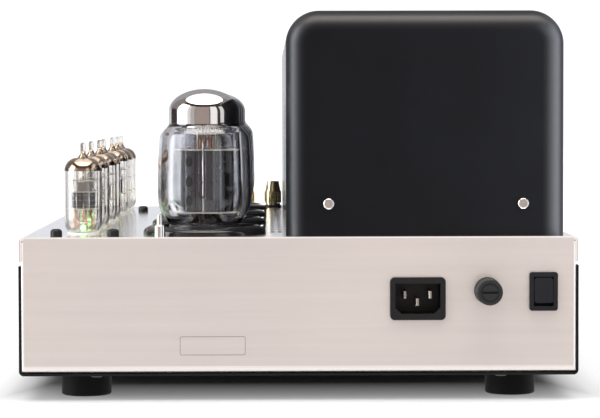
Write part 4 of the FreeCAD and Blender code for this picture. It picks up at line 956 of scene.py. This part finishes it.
def area_light(name, at, target, size, energy, colour=(1.0, 1.0, 1.0)):
    made = add_light(name, "AREA", energy, colour)
    made.data.shape = "RECTANGLE"
    made.data.size, made.data.size_y = size
    made.location = at
    made.rotation_euler = (Vector(target) - Vector(at)).to_track_quat("-Z", "Y").to_euler()
    return made


def lamp_lights():
    """A small green light over each lamp, under the tube's foot."""
    for index in range(1, signal_tube_count + 1):
        centre = middle(f"signal_tube_{index}_glass")
        made = add_light(f"lamp_{index}", "POINT", lamp_power, lamp_colour)
        made.data.shadow_soft_size = lamp_radius * MM
        made.location = Vector((centre.x, centre.y - lamp_forward, plate_z + lamp_over_plate)) * MM


def cover_light():
    """A soft light for the bend between the near and the outer side of the transformer covers alone."""
    made = area_light("cover_card", at=(0.37, -0.38, 0.16), target=(0.134, -0.186, 0.16),
                      size=(0.36, 0.5), energy=3.9, colour=(0.9, 0.93, 1.0))
    made.visible_diffuse = False
    made.visible_camera = False
    lit = bpy.data.collections.new("lit_by_cover_card")
    for name in ("near", "middle", "far"):
        lit.objects.link(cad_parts[f"transformer_cover_{name}"])
    made.light_linking.receiver_collection = lit


def studio_lights():
    """A wide soft sun overhead and two soft boxes, none of which shows in polished metal."""
    above = add_light("overhead", "SUN", 2.2)
    above.data.angle = math.radians(70.0)
    above.rotation_euler = (math.radians(-8.0), 0.0, 0.0)
    aim = (0.0, 0.0, 0.1)
    left = area_light("left_box", at=(-1.5, -0.5, 0.7), target=aim, size=(1.0, 1.3), energy=5.0)
    right = area_light("right_box", at=(1.6, -0.8, 0.7), target=aim, size=(0.8, 1.2), energy=3.5)
    for light in (above, left, right):
        light.visible_glossy = False


# The floor, with a painted shadow under the case: the case hangs low over it, so the painted shadow is
# deep right up to the sides and a little beyond them; the painted shadow's lengths are in metres
floor_reach = 9000.0
floor_white = (0.62, 0.62, 0.62)
painted_floor_shadow = (0.08, 0.08, 0.08)
side_depth = 3.0
side_margin = 0.018


def depth_under_case(material):
    """How far a place on the floor lies inside the case's outline, in metres."""
    aside, along, _ = place_parts(material)
    middle_y = (near_y + far_y) / 2.0 * MM
    half_length = (far_y - near_y) / 2.0 * MM
    from_middle = maths(material, "ABSOLUTE", maths(material, "SUBTRACT", along, middle_y))
    from_end = maths(material, "SUBTRACT", half_length, from_middle)
    from_side = maths(material, "SUBTRACT", half_width * MM + side_margin, aside)
    from_side = maths(material, "MULTIPLY", from_side, side_depth)
    return maths(material, "MINIMUM", from_side, from_end)


def studio_floor():
    """A pale floor that glows evenly, with a painted shadow under the case where its colour darkens and
    its glow fades; polished metal doesn't show it.
    """
    white = new_material("floor_white", floor_white, roughness=0.7, Specular_IOR_Level=0.1)
    depth = depth_under_case(white)
    cloud = spread(white, noise(white, 3.0, 1.0), -0.003, 0.003)
    # Painted shadow: the floor's colour turns dark under the case
    shade = maths(white, "ADD", spread(white, depth, 0.0, 0.1, 0.02, 0.11), cloud)
    colour_from(white, shade, [(0.0, floor_white), (0.1, painted_floor_shadow)])
    shader = shader_of(white)
    # Painted shadow: the floor glows evenly, less and less under the case
    shader.inputs["Emission Color"].default_value = (1.0, 1.0, 1.0, 1.0)
    join(white, spread(white, depth, 0.35, 0.0, -0.02, 0.085), shader.inputs["Emission Strength"])
    rays = add_node(white, "ShaderNodeLightPath")
    join(white, maths(white, "SUBTRACT", 1.0, rays.outputs["Is Glossy Ray"]), shader.inputs["Alpha"])
    shape = Shape()
    corners = [(x, y, 0.0) for x, y in rectangle(floor_reach, floor_reach)]
    shape.faces(corners, [(0, 1, 2, 3)], white, False)
    floor = bpy.data.objects.new("floor", shape.mesh("floor"))
    bpy.context.scene.collection.objects.link(floor)


class Sky:
    """The studio as polished surfaces see it: soft boxes and cards by bearing and height in degrees.

    A bearing of 0 is the near end's side, and 90 is the side of the transformers. Between the two bearings
    named here, what shows through glass turns from the studio to the open white behind the object.
    """

    behind_start = 122.0
    behind_end = 136.0

    def __init__(self, colour):
        self.world = bpy.data.worlds.new("studio")
        self.world.use_nodes = True
        bpy.context.scene.world = self.world
        place = add_node(self.world, "ShaderNodeTexCoord")
        parts = add_node(self.world, "ShaderNodeSeparateXYZ")
        join(self.world, place.outputs["Generated"], parts.inputs["Vector"])
        ahead = self.maths("MULTIPLY", parts.outputs["Y"], -1.0)
        bearing = self.maths("ARCTAN2", parts.outputs["X"], ahead)
        height = self.maths("ARCSINE", parts.outputs["Z"])
        self.bearing = self.maths("MULTIPLY", bearing, math.degrees(1.0))
        self.height = self.maths("MULTIPLY", height, math.degrees(1.0))
        self.colour = colour

    def maths(self, operation, *values):
        return maths(self.world, operation, *values)

    def rise(self, value, low, high):
        return spread(self.world, value, 0.0, 1.0, low, high, "SMOOTHSTEP")

    def band(self, value, low, high, soft):
        up = self.rise(value, low - soft, low + soft)
        down = self.rise(value, high + soft, high - soft)
        return self.maths("MULTIPLY", up, down)

    def card(self, bearings, heights, colour, soft=2.0):
        across = self.band(self.bearing, *bearings, soft)
        upright = self.band(self.height, *heights, soft)
        self.colour = mix(self.world, self.maths("MULTIPLY", across, upright), self.colour, colour)

    def finish(self, fill, open_white):
        """Diffuse light is an even fill, and what is seen straight or through glass is open white."""
        rays = add_node(self.world, "ShaderNodeLightPath").outputs
        colour = mix(self.world, rays["Is Diffuse Ray"], self.colour, fill)
        straight = self.maths("MAXIMUM", rays["Is Camera Ray"], rays["Is Transmission Ray"])
        unbounced = self.maths("LESS_THAN", rays["Glossy Depth"], 0.5)
        behind = self.rise(self.maths("ABSOLUTE", self.bearing), self.behind_start, self.behind_end)
        seen = self.maths("MAXIMUM", rays["Is Camera Ray"], behind)
        open_rays = self.maths("MULTIPLY", self.maths("MULTIPLY", straight, unbounced), seen)
        colour = mix(self.world, open_rays, colour, open_white)
        join(self.world, colour, self.world.node_tree.nodes["Background"].inputs["Color"])


def studio_sky():
    """Later cards lie over earlier ones. A height of -90 is straight down, where the floor would be."""
    all_round = (-400.0, 400.0)
    sky = Sky((0.07, 0.06, 0.055))
    for bearings in ((138.0, 190.0), (-190.0, -138.0)):
        sky.card(bearings, (9.0, 58.0), (0.52, 0.52, 0.54), 4.0)
        sky.card(bearings, (-90.0, 9.0), (0.80, 0.84, 0.92), 3.0)
        sky.card(bearings, (-90.0, 3.2), (1.0, 1.02, 1.08), 0.6)
    for bearings in ((100.0, 142.0), (-142.0, -96.0)):
        sky.card(bearings, (12.0, 58.0), (0.36, 0.33, 0.31), 4.0)
    sky.card((-30.0, 19.0), (-90.0, 38.0), (0.56, 0.47, 0.43))
    sky.card((-47.0, -31.0), (-90.0, 40.0), (0.75, 0.74, 0.74), 1.0)
    sky.card((-66.0, -46.0), (-90.0, 40.0), (1.2, 1.18, 1.17), 2.0)
    sky.card((-98.0, -61.0), (-90.0, 42.0), (6.0, 6.2, 6.6), 5.0)
    sky.card((76.0, 114.0), (-90.0, 44.0), (2.2, 2.3, 2.6), 8.0)
    sky.card((22.0, 46.0), (-90.0, 38.0), (1.5, 1.5, 1.52), 2.5)
    sky.card(all_round, (57.0, 95.0), (0.6, 0.53, 0.47), 3.0)
    sky.card((-95.0, 95.0), (57.0, 95.0), (6.4, 6.0, 5.6), 3.0)
    sky.card(all_round, (-95.0, -9.0), (1.0, 0.955, 0.935), 4.0)
    sky.finish((0.72, 0.72, 0.72), (1.12, 1.12, 1.12))


# Camera. Its angles are given as they measure in the picture, in pixels, and its place in millimetres
picture_width = 600.0
focal_length = 2374.0
look_aside = 30.0
look_down = 99.0
roll_rise = 1.2
roll_run = 555.0
camera_x = -15.65
camera_from_panel = 1291.0
camera_over_plate = 69.0


def camera():
    data = bpy.data.cameras.new("photo_view")
    data.sensor_width = 36.0
    data.lens = focal_length * data.sensor_width / picture_width
    data.clip_start, data.clip_end = 0.05, 60.0
    made = bpy.data.objects.new("photo_view", data)
    bpy.context.scene.collection.objects.link(made)
    made.location = (camera_x * MM, (near_y - camera_from_panel) * MM, (plate_z + camera_over_plate) * MM)
    yaw = Matrix.Rotation(-math.atan2(look_aside, focal_length), 4, "Z")
    pitch = Matrix.Rotation(math.radians(90.0) - math.atan2(look_down, focal_length), 4, "X")
    roll = Matrix.Rotation(-math.atan2(roll_rise, roll_run), 4, "Z")
    made.rotation_euler = (yaw @ pitch @ roll).to_euler()
    bpy.context.scene.camera = made


power_tubes()
signal_tubes()
lamp_lights()
place("label_frame", plate_frame(), "chassis", "stainless")
studio_lights()
cover_light()
studio_floor()
studio_sky()
camera()
bpy.context.scene.view_settings.view_transform = "Standard"
